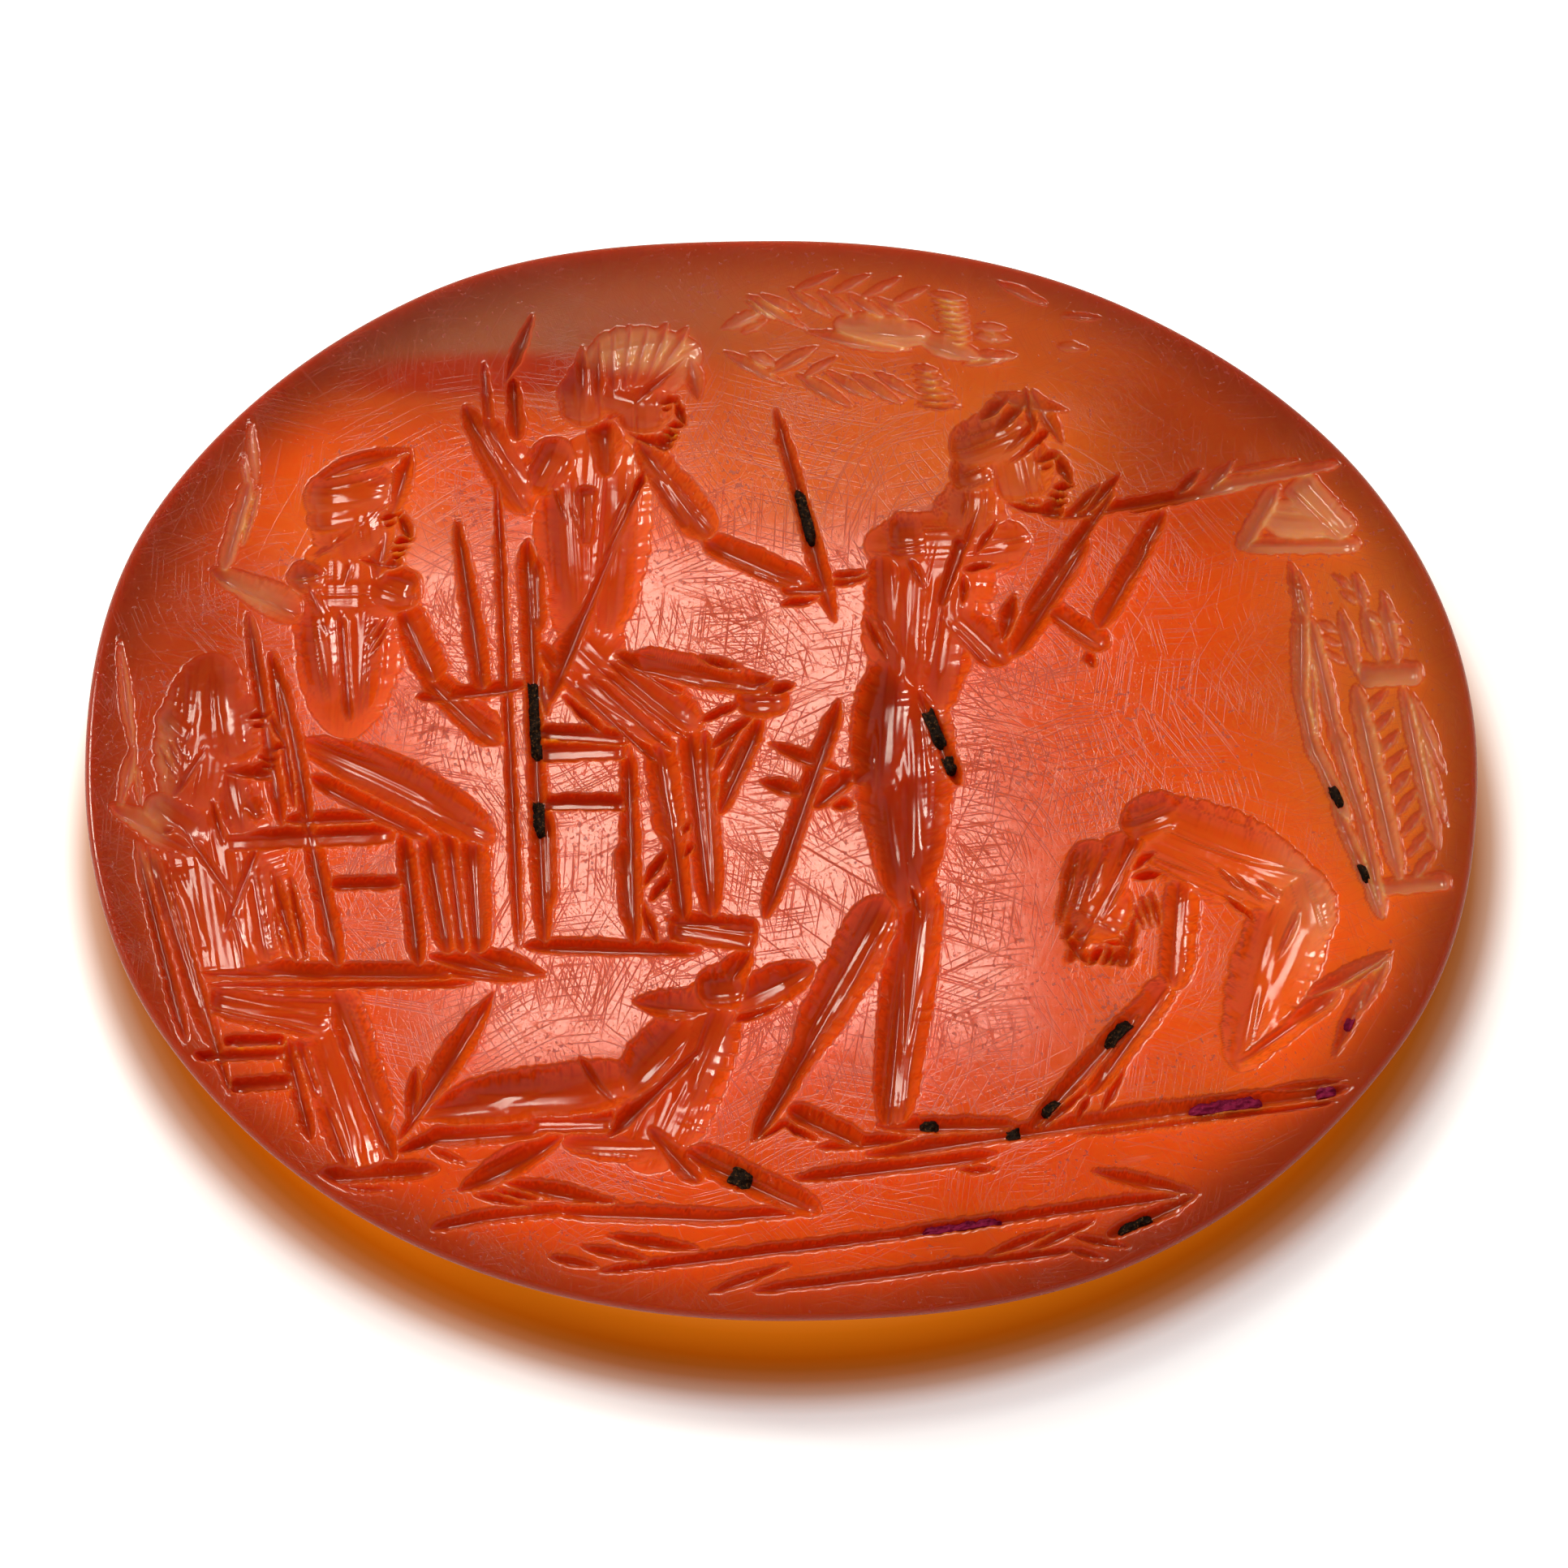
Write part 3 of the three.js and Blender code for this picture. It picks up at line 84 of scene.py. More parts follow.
# Cuts as rows: start u, start v, end u, end v, start width, end width, depth and, if bent, bow.
# u and v are hundredths of the stone's half-length and half-width, widths are hundredths of the
# broad wheel's width, the depth is a hundredth of the deepest cut and the bow a hundredth of the
# cut's length. Hollows are oval, lens cuts taper to points, lines keep their width and bars have
# blunt ends.
CUTS = {
    # The man seated at the left, with his chair and spear
    "left_chief": {
        "hollow": [
            [-61.3, 46, -62.6, 4.5, 180, 130, 44], [-69, 31.5, -53.5, 31.5, 110, 100, 48],
            [-62.5, 53, -61.5, 37, 118, 100, 48], [-68.5, 50, -55, 52, 98, 90, 60],
            [-68, 46, -58, 49, 60, 70, 56], [-70.8, 35, -65, 36, 52, 50, 50],
            [-60, 34.5, -52, 30.5, 66, 64, 60], [-66.5, 33, -64.5, 10.5, 78, 60, 55],
            [-60, 33, -60.8, 8, 78, 56, 60], [-69, 4.5, -41, -14.5, 66, 70, 60, 4],
            [-56, -3, -41.3, -15, 50, 56, 56], [-58, 35.8, -52, 33, 34, 40, 55],
        ],
        "lens": [
            [-67, 54, -52.8, 59, 36, 26, 40, 5], [-53.2, 59, -56.5, 45, 32, 34, 42],
            [-54.5, 52, -67.5, 39, 24, 18, 50], [-57, 51.5, -64.5, 42, 14, 14, 52],
            [-61.4, 41, -63.2, 32.5, 24, 20, 48], [-56.6, 46, -58.6, 33, 42, 44, 50],
            [-69.3, 38.8, -64, 23.5, 44, 22, 50], [-56, 28.6, -60.6, 20, 16, 14, 62],
            [-57.4, 28.6, -60.8, 22.6, 11, 10, 60], [-56.2, 26.5, -60, 19, 11, 10, 64],
            [-66.7, 29.5, -64.1, 24, 12, 10, 56], [-76.4, 67, -75.5, 53, 12, 14, 18],
            [-77.5, 60, -76.6, 52, 10, 10, 22], [-75, 54, -77.6, 41, 10, 10, 38],
            [-76, 36, -69.5, 28, 34, 54, 46], [-78, -35.6, -61, -38.6, 32, 24, 50],
            [-50.6, -35.4, -33.4, -39.3, 36, 34, 50], [-49.6, -37.6, -35, -39.8, 24, 22, 46],
            [-45, -34.5, -34.3, -38.8, 30, 26, 50],
        ],
        "line": [
            [-82, 37.8, -68.5, 28.5, 22, 66, 50], [-76.4, 55, -80.2, 37.3, 20, 24, 40],
            [-76.6, 29.5, -71.5, -11, 20, 26, 44], [-73.3, 21.8, -69.8, -7.5, 16, 16, 42],
            [-72.9, 20.8, -67.8, -11, 18, 24, 48, 2], [-68.6, -6, -63.4, -37.2, 24, 34, 48],
            [-63.3, 31.5, -61.8, 8, 26, 26, 66], [-71.5, -9.5, -54, -9.6, 18, 18, 38],
            [-65, -21.8, -54, -21.8, 21, 21, 42], [-54.2, -12.2, -51.9, -37.3, 28, 26, 50],
            [-84, -36.6, -45, -38.5, 24, 28, 46], [-83, -38.8, -44, -40.4, 16, 18, 42],
            [-67.6, -1.8, -50, -13.8, 30, 34, 50], [-66, 2.2, -46, -11, 44, 46, 46],
            [-50.6, -12.6, -47.6, -35, 40, 36, 50], [-47.8, -11.2, -45.4, -35.2, 30, 30, 50],
            [-44.4, -13, -43.2, -35.2, 50, 38, 56], [-54.6, 30, -49.4, 15, 44, 52, 56],
            [-51.4, 17, -40.2, 3.2, 38, 52, 52], [-46.6, 46, -42.5, 11, 14, 36, 48],
            [-52.3, 12.2, -36.4, 14, 24, 20, 44],
        ],
        "bar": [
            [-80.5, -12.9, -55.3, -12.9, 30, 30, 46],
        ],
    },
    # The man seated at the rim
    "far_left_chief": {
        "hollow": [
            [-81.5, 22, -84, -8, 120, 150, 44], [-82, -5, -77.5, -42, 190, 170, 38],
            [-81.5, -41.5, -60, -44, 85, 95, 44], [-66.5, -42, -59, -76, 95, 85, 42],
            [-81, 20, -80, 3, 76, 74, 58], [-89, 12, -83.5, 5, 52, 50, 44],
            [-79.2, 3, -77, -13.5, 64, 60, 52], [-91, -4.5, -82, -13, 62, 64, 48],
            [-89, -9.8, -87, -9.8, 18, 18, 58], [-77.8, -4.5, -74.4, -9, 34, 34, 54],
        ],
        "lens": [
            [-89.6, 6, -86.4, -1.6, 13, 12, 42], [-88.5, 8, -85.7, 0, 13, 12, 44],
            [-87.4, 9, -85.1, 1, 13, 12, 46], [-86.2, 8, -84.4, 0, 13, 11, 46],
            [-84.2, 11.5, -86, 4, 14, 12, 46], [-81.3, 8, -87.6, -5, 24, 28, 50],
            [-95.3, 26, -93, 4, 13, 20, 32], [-92.8, 6, -95, -6.5, 20, 15, 32],
            [-92.6, 2, -92, -6, 9, 9, 28], [-82, -3.5, -79.6, -15, 15, 15, 52],
            [-81, -15.5, -76, -36, 28, 22, 44], [-73.3, -17, -69.3, -36, 26, 18, 48],
            [-73, -24, -71, -34.5, 13, 13, 42], [-70.6, -20, -67.9, -36, 14, 15, 47],
            [-65, -75.2, -55.4, -76.9, 18, 14, 24],
        ],
        "line": [
            [-96.5, -5.3, -83, -14.5, 16, 70, 48], [-92.6, -12, -85.2, -50, 16, 22, 34],
            [-90.3, -14, -81.2, -50.5, 20, 36, 38], [-88.6, -15.5, -78.8, -59.5, 14, 15, 42],
            [-91, -13, -88, -28, 11, 11, 30], [-87.4, -6.5, -77.8, -24.6, 21, 21, 50],
            [-74.8, -12.5, -80, -30, 28, 22, 48], [-86.6, -17, -81.6, -34, 40, 32, 28],
            [-76.2, -14.5, -73.4, -35.5, 58, 52, 48], [-64.2, -40, -56.6, -66, 58, 46, 58],
            [-63.6, -46, -55.3, -71.6, 32, 26, 56], [-66.4, -50, -60.6, -69.5, 48, 42, 42],
            [-65.4, -60, -62, -72, 30, 26, 46], [-70.8, -49.4, -67.3, -67.5, 24, 20, 48],
            [-69.2, -49.6, -66.2, -60, 20, 18, 40], [-67, -74, -49, -73.2, 28, 28, 46],
        ],
        "bar": [
            [-82, -41.2, -64.4, -46.6, 52, 62, 46], [-80, -49.3, -71, -49.3, 16, 16, 40],
            [-84.3, -51.7, -71, -51.9, 17, 19, 40], [-78.9, -57.4, -70, -56.9, 22, 22, 42],
        ],
    },
    # The man with the crested helmet, enthroned in the middle
    "crested_chief": {
        "hollow": [
            [-26.4, 62, -27.8, 18, 190, 120, 46], [-31, 70, -11.5, 78, 105, 105, 38],
            [-28, 75.5, -14, 79, 96, 74, 38], [-28.4, 74, -28, 63, 76, 70, 42],
            [-31, 24, -24, 15, 110, 100, 46], [-43, 63, -35.5, 49, 60, 80, 42],
            [-27.5, 70.5, -16.5, 67, 72, 60, 55], [-35.3, 50, -31, 60.5, 76, 74, 58],
            [-31, 57, -29.4, 25, 82, 74, 60], [-23.3, 57, -25, 23, 82, 72, 62],
            [-42.8, 76, -41.8, 61, 16, 16, 22], [-31.5, 18, -16, 3, 66, 62, 54],
            [-24.5, 18, -11.5, 5, 66, 70, 56], [-6.5, 10.6, 1.3, 10.6, 56, 50, 50],
        ],
        "lens": [
            [-28.6, 79, -28.4, 63, 30, 36, 46], [-26.3, 80.6, -26.2, 64, 27, 30, 52],
            [-24.2, 82, -24, 65, 26, 28, 52], [-21.8, 83, -22.7, 68, 26, 26, 50],
            [-19.2, 82.6, -21.6, 70, 26, 24, 50], [-16.4, 83.3, -20, 71, 28, 22, 48],
            [-13.4, 82.4, -19.4, 71, 30, 22, 46], [-13, 77.6, -25.2, 64, 26, 24, 56],
            [-13.4, 78, -11.8, 68, 22, 30, 38], [-35.6, 85.6, -39.6, 72, 14, 24, 34],
            [-33.2, 54, -30, 43, 12, 11, 68], [-30.8, 51, -28.4, 42.5, 11, 10, 68],
            [-21.4, 53, -25.6, 40, 30, 18, 68], [-8, 37.6, 3, 32, 20, 24, 50],
            [6.5, 32.3, 13.4, 34.4, 18, 13, 36], [6.8, 34, 12.6, 34.9, 9, 9, 32],
            [0, 28.6, 5.8, 30.3, 20, 17, 40], [-12, 19, -5.4, 16.5, 13, 12, 44],
            [-5.2, 14, -0.8, 14.8, 10, 9, 46], [-2.6, 12.4, 2, 13.6, 12, 15, 50],
            [-31.3, 12, -24, 3.5, 16, 14, 56], [-35.6, 22.4, -28, 12, 30, 42, 50],
            [-34.6, 19, -33.6, 8, 18, 20, 44], [-20, -23.8, -15.7, -16, 16, 13, 48],
            [-18.9, -26.2, -15, -20.4, 15, 13, 48], [-14.4, -18.5, -12.2, -15, 12, 11, 50],
            [-14.4, -14, -12.8, -11, 12, 11, 50], [-20.1, -26, -17.6, -34, 17, 15, 46],
            [-12, 6.4, -5.4, 10.4, 14, 11, 38], [-10.6, 1.4, -3.4, 8.4, 17, 13, 42],
            [-11, -4.6, -5.4, 7.5, 15, 13, 44], [-9.3, -8, -4.9, 5, 13, 11, 44],
            [-16.8, -29.4, -5, -29.9, 18, 17, 46],
        ],
        "line": [
            [-38.6, 73, -37.9, 60.5, 20, 27, 42], [-45.6, 67.6, -36.4, 46.5, 28, 58, 50],
            [-42.8, 65.5, -36, 50, 32, 40, 47], [-25.5, 64, -25, 53.5, 50, 44, 56],
            [-20.4, 52.5, -34, 9.4, 22, 32, 66], [-19.4, 55, -26, 37, 15, 14, 68],
            [-20.6, 60.4, -10, 41.4, 44, 62, 56], [-18.4, 55, -13, 43.5, 30, 30, 54],
            [-11.2, 41.2, 4.6, 32, 40, 42, 52], [0, 32, 7, 32, 28, 22, 46],
            [-0.8, 66.6, 7.7, 25.4, 20, 29, 48], [-22.2, 18.6, 0, 12.7, 50, 36, 52],
            [-24, 18.8, -8, 13.6, 22, 30, 54], [-30, 15, -17, -1, 18, 18, 58],
            [-28.5, 17.4, -15, 1.4, 18, 17, 60], [-27, 18.6, -13, 3.6, 17, 15, 60],
            [-25.5, 19.6, -12.5, 6, 16, 15, 60], [-24, 20.6, -14, 12, 16, 15, 56],
            [-17.6, 3.5, -15, -16.5, 46, 52, 52], [-15.8, -9.5, -13.9, -30, 36, 28, 52],
            [-13.3, 7.4, -9.9, -29.6, 38, 36, 55], [-11, 5, -9.5, -28.5, 30, 30, 51],
            [-9.1, -10.6, -2.8, 7.6, 26, 28, 46], [-36.9, -33.8, -11.2, -35.2, 25, 20, 44],
            [-41, 57, -37.5, -35, 13, 16, 40], [-36.5, 41.5, -35.3, 10, 30, 25, 48],
            [-35.9, 22, -33.8, -34.5, 23, 30, 48], [-35.2, 38, -34.8, 24, 26, 26, 50],
            [-33.6, -9, -33.2, -27, 22, 24, 46], [-22, 3, -21, -34.4, 25, 29, 50],
            [-22.4, -15, -21.6, -31, 26, 26, 48],
        ],
        "bar": [
            [-28, 52.5, -28, 41, 40, 28, 66], [-35, 5.4, -21.4, 4.1, 20, 24, 46],
            [-35, 1.7, -22, 1.7, 32, 32, 48], [-34.4, -7.8, -22, -8, 23, 23, 46],
            [-16, -30.5, -3.4, -32.7, 44, 46, 44],
        ],
    },
    # The standing man who blows a long horn
    "horn_blower": {
        "hollow": [
            [12, 40, 36, 41, 100, 100, 44], [24, 46, 17.5, 8, 205, 135, 48],
            [29, 53, 25.5, 40, 90, 110, 46], [17, 20, 18.4, -30, 175, 90, 84],
            [24.6, 57, 36.5, 63.5, 98, 94, 62], [24.6, 52.5, 31, 56, 66, 74, 60],
            [15, 40.4, 21.5, 41.3, 92, 84, 60], [19.4, 41, 17.8, 7, 98, 92, 66],
            [25, 39, 21.6, 7, 92, 82, 66], [15.2, 40, 16, 21, 62, 62, 56],
            [16.2, 20, 14.2, -9, 90, 96, 92],
            [19, 3, 19, -25, 98, 82, 100], [15, 0, 18, -25, 74, 64, 86],
            [28, 54, 27.4, 42, 82, 72, 58],
            [69, 47, 81, 46.5, 74, 62, 34], [1, 60, -1, 60, 18, 18, 20],
        ],
        "lens": [
            [29.4, 61.4, 36, 69.6, 24, 20, 68], [30.4, 57.4, 37.6, 65.6, 22, 18, 68],
            [31.4, 56, 39.6, 63.6, 20, 17, 66], [35.1, 70.9, 36.6, 62, 20, 17, 62],
            [28.4, 64.6, 33, 69.6, 20, 17, 62], [30.5, 69.4, 41.4, 66.4, 28, 20, 42],
            [36, 70.6, 40.6, 60, 30, 24, 46], [37.2, 61, 36.6, 51, 36, 34, 48],
            [29.3, 52.2, 25.2, 36, 22, 24, 66], [26.8, 51.6, 26, 45.5, 16, 15, 64],
            [31.3, 46.2, 27.4, 38.4, 17, 18, 66], [17.4, 41.4, 21.6, 30.6, 30, 16, 68],
            [25.4, 36.2, 31.2, 37.3, 18, 13, 72], [26.3, 35.8, 26, 28.8, 24, 15, 74],
            [12.1, 26.7, 16.4, 16.6, 22, 14, 52], [13.2, 29.7, 17.9, 17.3, 26, 15, 56],
            [31.6, 21.4, 33.6, 31.4, 23, 22, 52], [42.4, 45.4, 48.9, 54.5, 20, 15, 40],
            [40.8, 45.4, 46, 52.6, 17, 13, 38], [44, 20.4, 45, 17.6, 22, 15, 30],
            [49.4, 33, 53.8, 43.7, 15, 12, 52], [56.3, 50.4, 60.4, 56, 18, 15, 36],
            [60.2, 50.8, 65.3, 58.2, 18, 16, 36], [64, 55.4, 75, 58.6, 11, 9, 22],
            [15.6, -3, 20.8, -25.6, 15, 14, 96], [18, -19.6, 20.4, -29.6, 15, 14, 78],
            [-1.6, 2.7, 9, -2.7, 23, 21, 46], [-3.1, -4.3, 4.6, -6.7, 26, 22, 44],
            [7.2, -8.5, 10.4, -8.6, 21, 16, 40], [0, -65.8, 5.4, -69, 15, 13, 48],
            [-4.4, -69.2, 1.6, -65.4, 12, 12, 36], [37.6, 48.6, 33.8, 49.8, 14, 14, 40],
        ],
        "line": [
            [22.5, 31, 32.6, 18, 52, 60, 62], [21.4, 30, 30.6, 17.4, 24, 24, 64],
            [32.8, 19, 44, 42.4, 42, 32, 56], [35, 27, 48, 52, 24, 17, 50],
            [37.4, 29.6, 47, 21.4, 30, 42, 48], [45.4, 24.8, 55.2, 48.4, 36, 28, 47],
            [38.4, 45.6, 68, 53.6, 17, 22, 38], [58, 51.4, 81.2, 58.4, 24, 15, 32],
            [50, 47.2, 62, 51.6, 11, 11, 40], [71.4, 53.4, 66, 40.6, 26, 25, 40],
            [19.3, 14.7, 25.6, -4.9, 26, 25, 72], [20.4, -21, 16.5, -67.4, 80, 50, 64],
            [18, -30, 15.2, -67, 58, 44, 62], [15.6, -25.6, 3, -54, 84, 58, 62],
            [6.4, -47, -3.9, -68.8, 48, 24, 56], [1, -63.3, 12.4, -69.7, 33, 30, 48],
            [8.4, 10.8, -2.4, -29.5, 27, 31, 50], [4.4, -9, 10.4, -2.6, 30, 30, 46],
            [10, -4.8, 20, 7.6, 30, 27, 62],
        ],
        "bar": [
            [26.2, 42.7, 22.8, 29.3, 26, 16, 76], [73.8, 54.4, 81.6, 44.4, 54, 46, 34],
            [66.4, 41.6, 83.2, 42.7, 26, 27, 40],
        ],
    },
    # The bearded man who crouches at the right
    "crouching_man": {
        "hollow": [
            [76, -18, 65.5, -55.5, 130, 100, 46], [50, -11, 76, -22, 110, 110, 44],
            [51, -11.5, 75, -21.5, 150, 122, 58], [76, -18, 67, -49, 128, 90, 54],
            [45, -14.5, 43, -33.5, 84, 66, 56], [49.4, -13, 43, -33, 62, 52, 55],
            [50.5, -8, 76.5, -20.5, 90, 82, 60], [55, -14, 74, -25.4, 82, 72, 60],
            [49, -12.4, 58, -8, 72, 80, 58], [74, -18.5, 77.4, -31, 76, 74, 54],
            [77.2, -21, 70, -42.5, 74, 66, 48], [71, -23, 65.4, -55.4, 76, 54, 58],
        ],
        "lens": [
            [42.6, -15, 39.7, -30.4, 15, 13, 62], [44.6, -15.4, 41.2, -30.4, 15, 13, 64],
            [46.6, -15.4, 43, -27.4, 17, 14, 64], [50.6, -15.6, 44.4, -32.4, 26, 22, 64],
            [61, -15.8, 67.6, -23.6, 15, 18, 70], [64, -17.2, 70.2, -25.2, 17, 15, 70],
            [67.4, -18.6, 72.2, -23.6, 15, 15, 68], [63, -22.4, 68.2, -28.2, 13, 13, 64],
            [50, -19.9, 54.4, -14.9, 17, 13, 52], [50.4, -21.2, 55.2, -20, 14, 12, 46],
            [75.6, -21.6, 70, -37.4, 25, 27, 64], [75, -41.6, 87.7, -32.6, 25, 17, 42],
            [80, -40.2, 87.4, -33.4, 15, 12, 40], [87.4, -33.2, 82.4, -45.2, 22, 17, 38],
            [84.2, -37.8, 79, -52.7, 22, 17, 36], [44.2, -56.4, 38, -63.7, 12, 11, 46],
            [44.3, -58.8, 35, -68.2, 15, 13, 44], [44.4, -60.4, 41.9, -65.4, 11, 9, 38],
            [49.6, -54.4, 45.9, -63.8, 12, 11, 38], [47.6, -52.4, 44.9, -58.4, 10, 10, 54],
        ],
        "line": [
            [52.4, -10, 41.2, -37, 32, 24, 60], [58, -19.6, 56.4, -41.4, 52, 46, 54],
            [56.2, -38.6, 44, -60.4, 46, 36, 50], [52, -43.6, 34.8, -67.7, 30, 20, 48],
            [65, -53.6, 80.2, -39.8, 48, 38, 50],
        ],
    },
    # The beard of the crouching man
    "beard": {
        "lens": [
            [53, -23.8, 54.4, -30.2, 10, 9, 36], [51.6, -24.4, 53.3, -30.2, 10, 9, 36],
            [50.7, -26.4, 52.2, -30.8, 10, 9, 36], [49.8, -28.2, 51.1, -32.3, 10, 9, 36],
            [49, -29.6, 50.4, -33.8, 10, 9, 36], [48.3, -30, 50, -35.2, 10, 9, 36],
            [45.8, -32.4, 49.7, -33.4, 11, 9, 36],
        ],
    },
    # The hound that lies on the ground
    "hound": {
        "hollow": [
            [-9, -41, -20.5, -74.5, 130, 140, 46], [-53, -63.4, -19, -58, 54, 92, 60],
            [-47, -60.4, -22, -60.4, 64, 74, 62], [-7.6, -43, -15, -64, 88, 90, 64],
            [-12.6, -47, -23, -61, 84, 72, 60], [-12.2, -42.4, -4.4, -41.6, 72, 62, 58],
            [-7.4, -45.4, 4.8, -38.2, 62, 52, 52], [-31.4, -69, -14, -69.6, 48, 58, 38],
        ],
        "lens": [
            [-55, -68.6, -41.2, -42.3, 26, 54, 47], [-52.3, -55.2, -53.1, -66.5, 22, 22, 36],
            [-46.2, -77.2, -30.9, -67.6, 42, 50, 54], [-50.6, -69.4, -45, -72.5, 9, 9, 24],
            [-28.9, -54.2, -23.4, -62.2, 22, 15, 64], [-21.4, -44.3, -8.6, -45.6, 46, 46, 52],
            [-9.6, -44, -3.8, -33.9, 40, 38, 52], [-7.9, -48.2, 1.6, -43.4, 24, 21, 50],
            [-40.2, -75.5, -22.9, -80, 27, 20, 44], [-41.2, -77.2, -32.8, -79.1, 11, 10, 37],
            [-44.2, -78, -34.8, -80.1, 13, 11, 34], [-55.4, -70.1, -46.8, -66.7, 17, 15, 47],
        ],
        "line": [
            [-51.2, -67.6, -33, -66.4, 30, 34, 44], [-10, -50, -25.2, -68.3, 22, 27, 70],
            [-19.2, -65.4, -11.4, -76.2, 34, 38, 55], [-14.2, -70.4, 5.7, -81.6, 46, 40, 54],
        ],
        "bar": [
            [-36.2, -65.4, -23.6, -65.4, 30, 30, 40],
        ],
    },
    # The eagle at the top
    "eagle": {
        "hollow": [
            [7.6, 83.2, 22, 80.4, 54, 48, 44],
        ],
        "lens": [
            [3.4, 81.6, 19.2, 77.9, 24, 26, 42], [8.8, 82.7, 21.2, 81.4, 30, 30, 50],
            [18.8, 80.8, 29.2, 76.4, 40, 34, 44], [26, 75.2, 34.2, 77.1, 17, 13, 32],
            [27.4, 77.3, 33.6, 77.2, 16, 12, 28], [-5.1, 88.9, 3.9, 81.7, 15, 13, 38],
            [-5.1, 87.6, -0.4, 83.8, 12, 11, 34], [-3.3, 89.1, 3.1, 84.9, 13, 11, 34],
            [0.9, 90.1, 7.3, 84.2, 17, 13, 38], [5.3, 89.7, 10.4, 84.7, 15, 13, 38],
            [9.4, 89.1, 15.1, 84.5, 15, 13, 38], [13.5, 88.5, 18.3, 84.1, 15, 13, 36],
            [2, 89.8, 8.5, 93.7, 16, 13, 22], [7, 89, 13.1, 93, 16, 13, 20],
            [11.5, 88.3, 17.3, 92.4, 15, 13, 20], [15.6, 87, 21.6, 90.7, 15, 13, 20],
            [27.8, 82.9, 32.6, 82.2, 14, 13, 18], [27.7, 81.1, 33.1, 80.2, 20, 18, 18],
            [31, 91.9, 38.6, 87.1, 18, 15, 26], [40.2, 85.4, 46.2, 85, 14, 12, 12],
            [39.5, 79.4, 44.4, 78.7, 18, 14, 12], [-8.4, 77.7, 0.8, 70.9, 18, 15, 40],
            [-4.7, 77.3, -0.7, 74.7, 18, 16, 24], [5.3, 78.5, -2.6, 72.9, 22, 17, 30],
            [2.2, 73.1, 10.4, 66.5, 22, 17, 42], [6.2, 73.8, 13.3, 68.2, 17, 14, 40],
            [10.1, 73.3, 17.6, 67.1, 18, 15, 42], [13.4, 73.6, 20.1, 68.2, 15, 13, 38],
            [-8.8, 81.9, -2, 86.1, 24, 20, 20], [-5.7, 81.2, -1.9, 83.9, 15, 13, 18],
            [3, 72.4, 8.2, 76.6, 14, 12, 18],
        ],
    },
    # The bow at the right rim
    "bow": {
        "lens": [
            [73.1, 39.2, 75, 26.5, 15, 15, 38], [74.1, 37.2, 75.8, 28, 18, 16, 36],
            [76, 22.5, 77, 4, 12, 11, 32], [77, 5, 82.1, -10.2, 12, 11, 36],
        ],
        "line": [
            [74.8, 31, 74.6, 12, 26, 22, 42], [74.4, 16, 76.8, 0.8, 20, 20, 42],
            [75.2, 8, 81.1, -8.7, 22, 22, 42], [79.4, -5.8, 83.6, -19.2, 18, 18, 42],
            [82, -12.8, 86.3, -27, 17, 18, 42], [76.1, 28.4, 79.8, 5.8, 21, 20, 42],
            [79.2, 9.2, 83.6, -9.2, 24, 20, 42], [82.7, -4.8, 86.4, -25.6, 20, 15, 42],
        ],
    },
    # The quiver beside the bow
    "quiver": {
        "lens": [
            [80.3, 30.4, 82.9, 17.3, 18, 21, 40], [82.4, 37.2, 84, 29.8, 17, 14, 36],
            [83.7, 31, 86, 20.4, 22, 26, 38], [86.3, 34.4, 88.7, 19.8, 20, 26, 38],
            [79, 36.9, 82.5, 33.5, 11, 9, 26], [80.4, 33.8, 82.7, 31.3, 10, 9, 24],
            [84, 30.2, 86.3, 27.7, 10, 9, 26], [87.1, 29.7, 89.3, 27.7, 11, 9, 26],
            [87.9, 25.7, 90.3, 23.7, 11, 9, 26], [77.1, 27.7, 80.1, 25.5, 13, 11, 20],
            [77.4, 24.9, 80.3, 23.1, 12, 11, 20], [77.5, 22.5, 81.1, 19.7, 12, 11, 20],
            [90.3, 15.6, 95.3, 0, 20, 17, 26], [91.6, 8.6, 95.6, -10, 16, 14, 24],
        ],
        "line": [
            [82.4, 16.2, 88.9, -20.3, 30, 27, 44], [89.2, 16.7, 94.2, -14, 20, 20, 34],
        ],
        "bar": [
            [83, 17.8, 92, 19, 34, 34, 36], [86.2, -21.3, 96, -19.3, 22, 26, 30],
        ],
    },
    # Ground lines and the two arrows
    "ground": {
        "lens": [
            [44.4, -73.8, 60.3, -77.3, 27, 16, 40], [50, -83.6, 57.7, -80, 13, 12, 28],
            [-33.6, -88.9, -25.4, -91.1, 15, 12, 28], [-28.7, -87.3, -18.4, -89.9, 17, 13, 34],
            [-25.1, -85.5, -11.4, -88, 21, 15, 40], [28.9, -89.1, 40.2, -83.8, 15, 12, 34],
            [34.8, -88.2, 45.2, -82.3, 15, 12, 34], [41, -85.1, 50.2, -87.1, 13, 10, 28],
            [40.8, -87.6, 47.2, -89.2, 13, 10, 24], [-10.6, -95.6, 1.7, -90.4, 17, 12, 26],
            [25, -73.8, 31.2, -74, 11, 9, 28], [20, -69.4, 25.4, -69.2, 12, 9, 30],
            [5, -70.3, 20.2, -68.1, 19, 17, 42], [70, -58.4, 81.2, -56.2, 10, 9, 28],
        ],
        "line": [
            [-50.2, -83.7, -30, -80.9, 18, 22, 32, 3], [-33, -81.1, -4, -82.6, 24, 24, 34],
            [-10, -82.3, 3.2, -81.4, 18, 15, 34], [-26.2, -91.7, 20, -85, 15, 17, 38],
            [12, -86.3, 60, -77, 17, 15, 40], [46.6, -85.2, 59.7, -77.3, 22, 16, 38],
            [-4, -95.2, 26, -90.6, 14, 15, 30], [20, -91.4, 42.7, -87.5, 15, 13, 36],
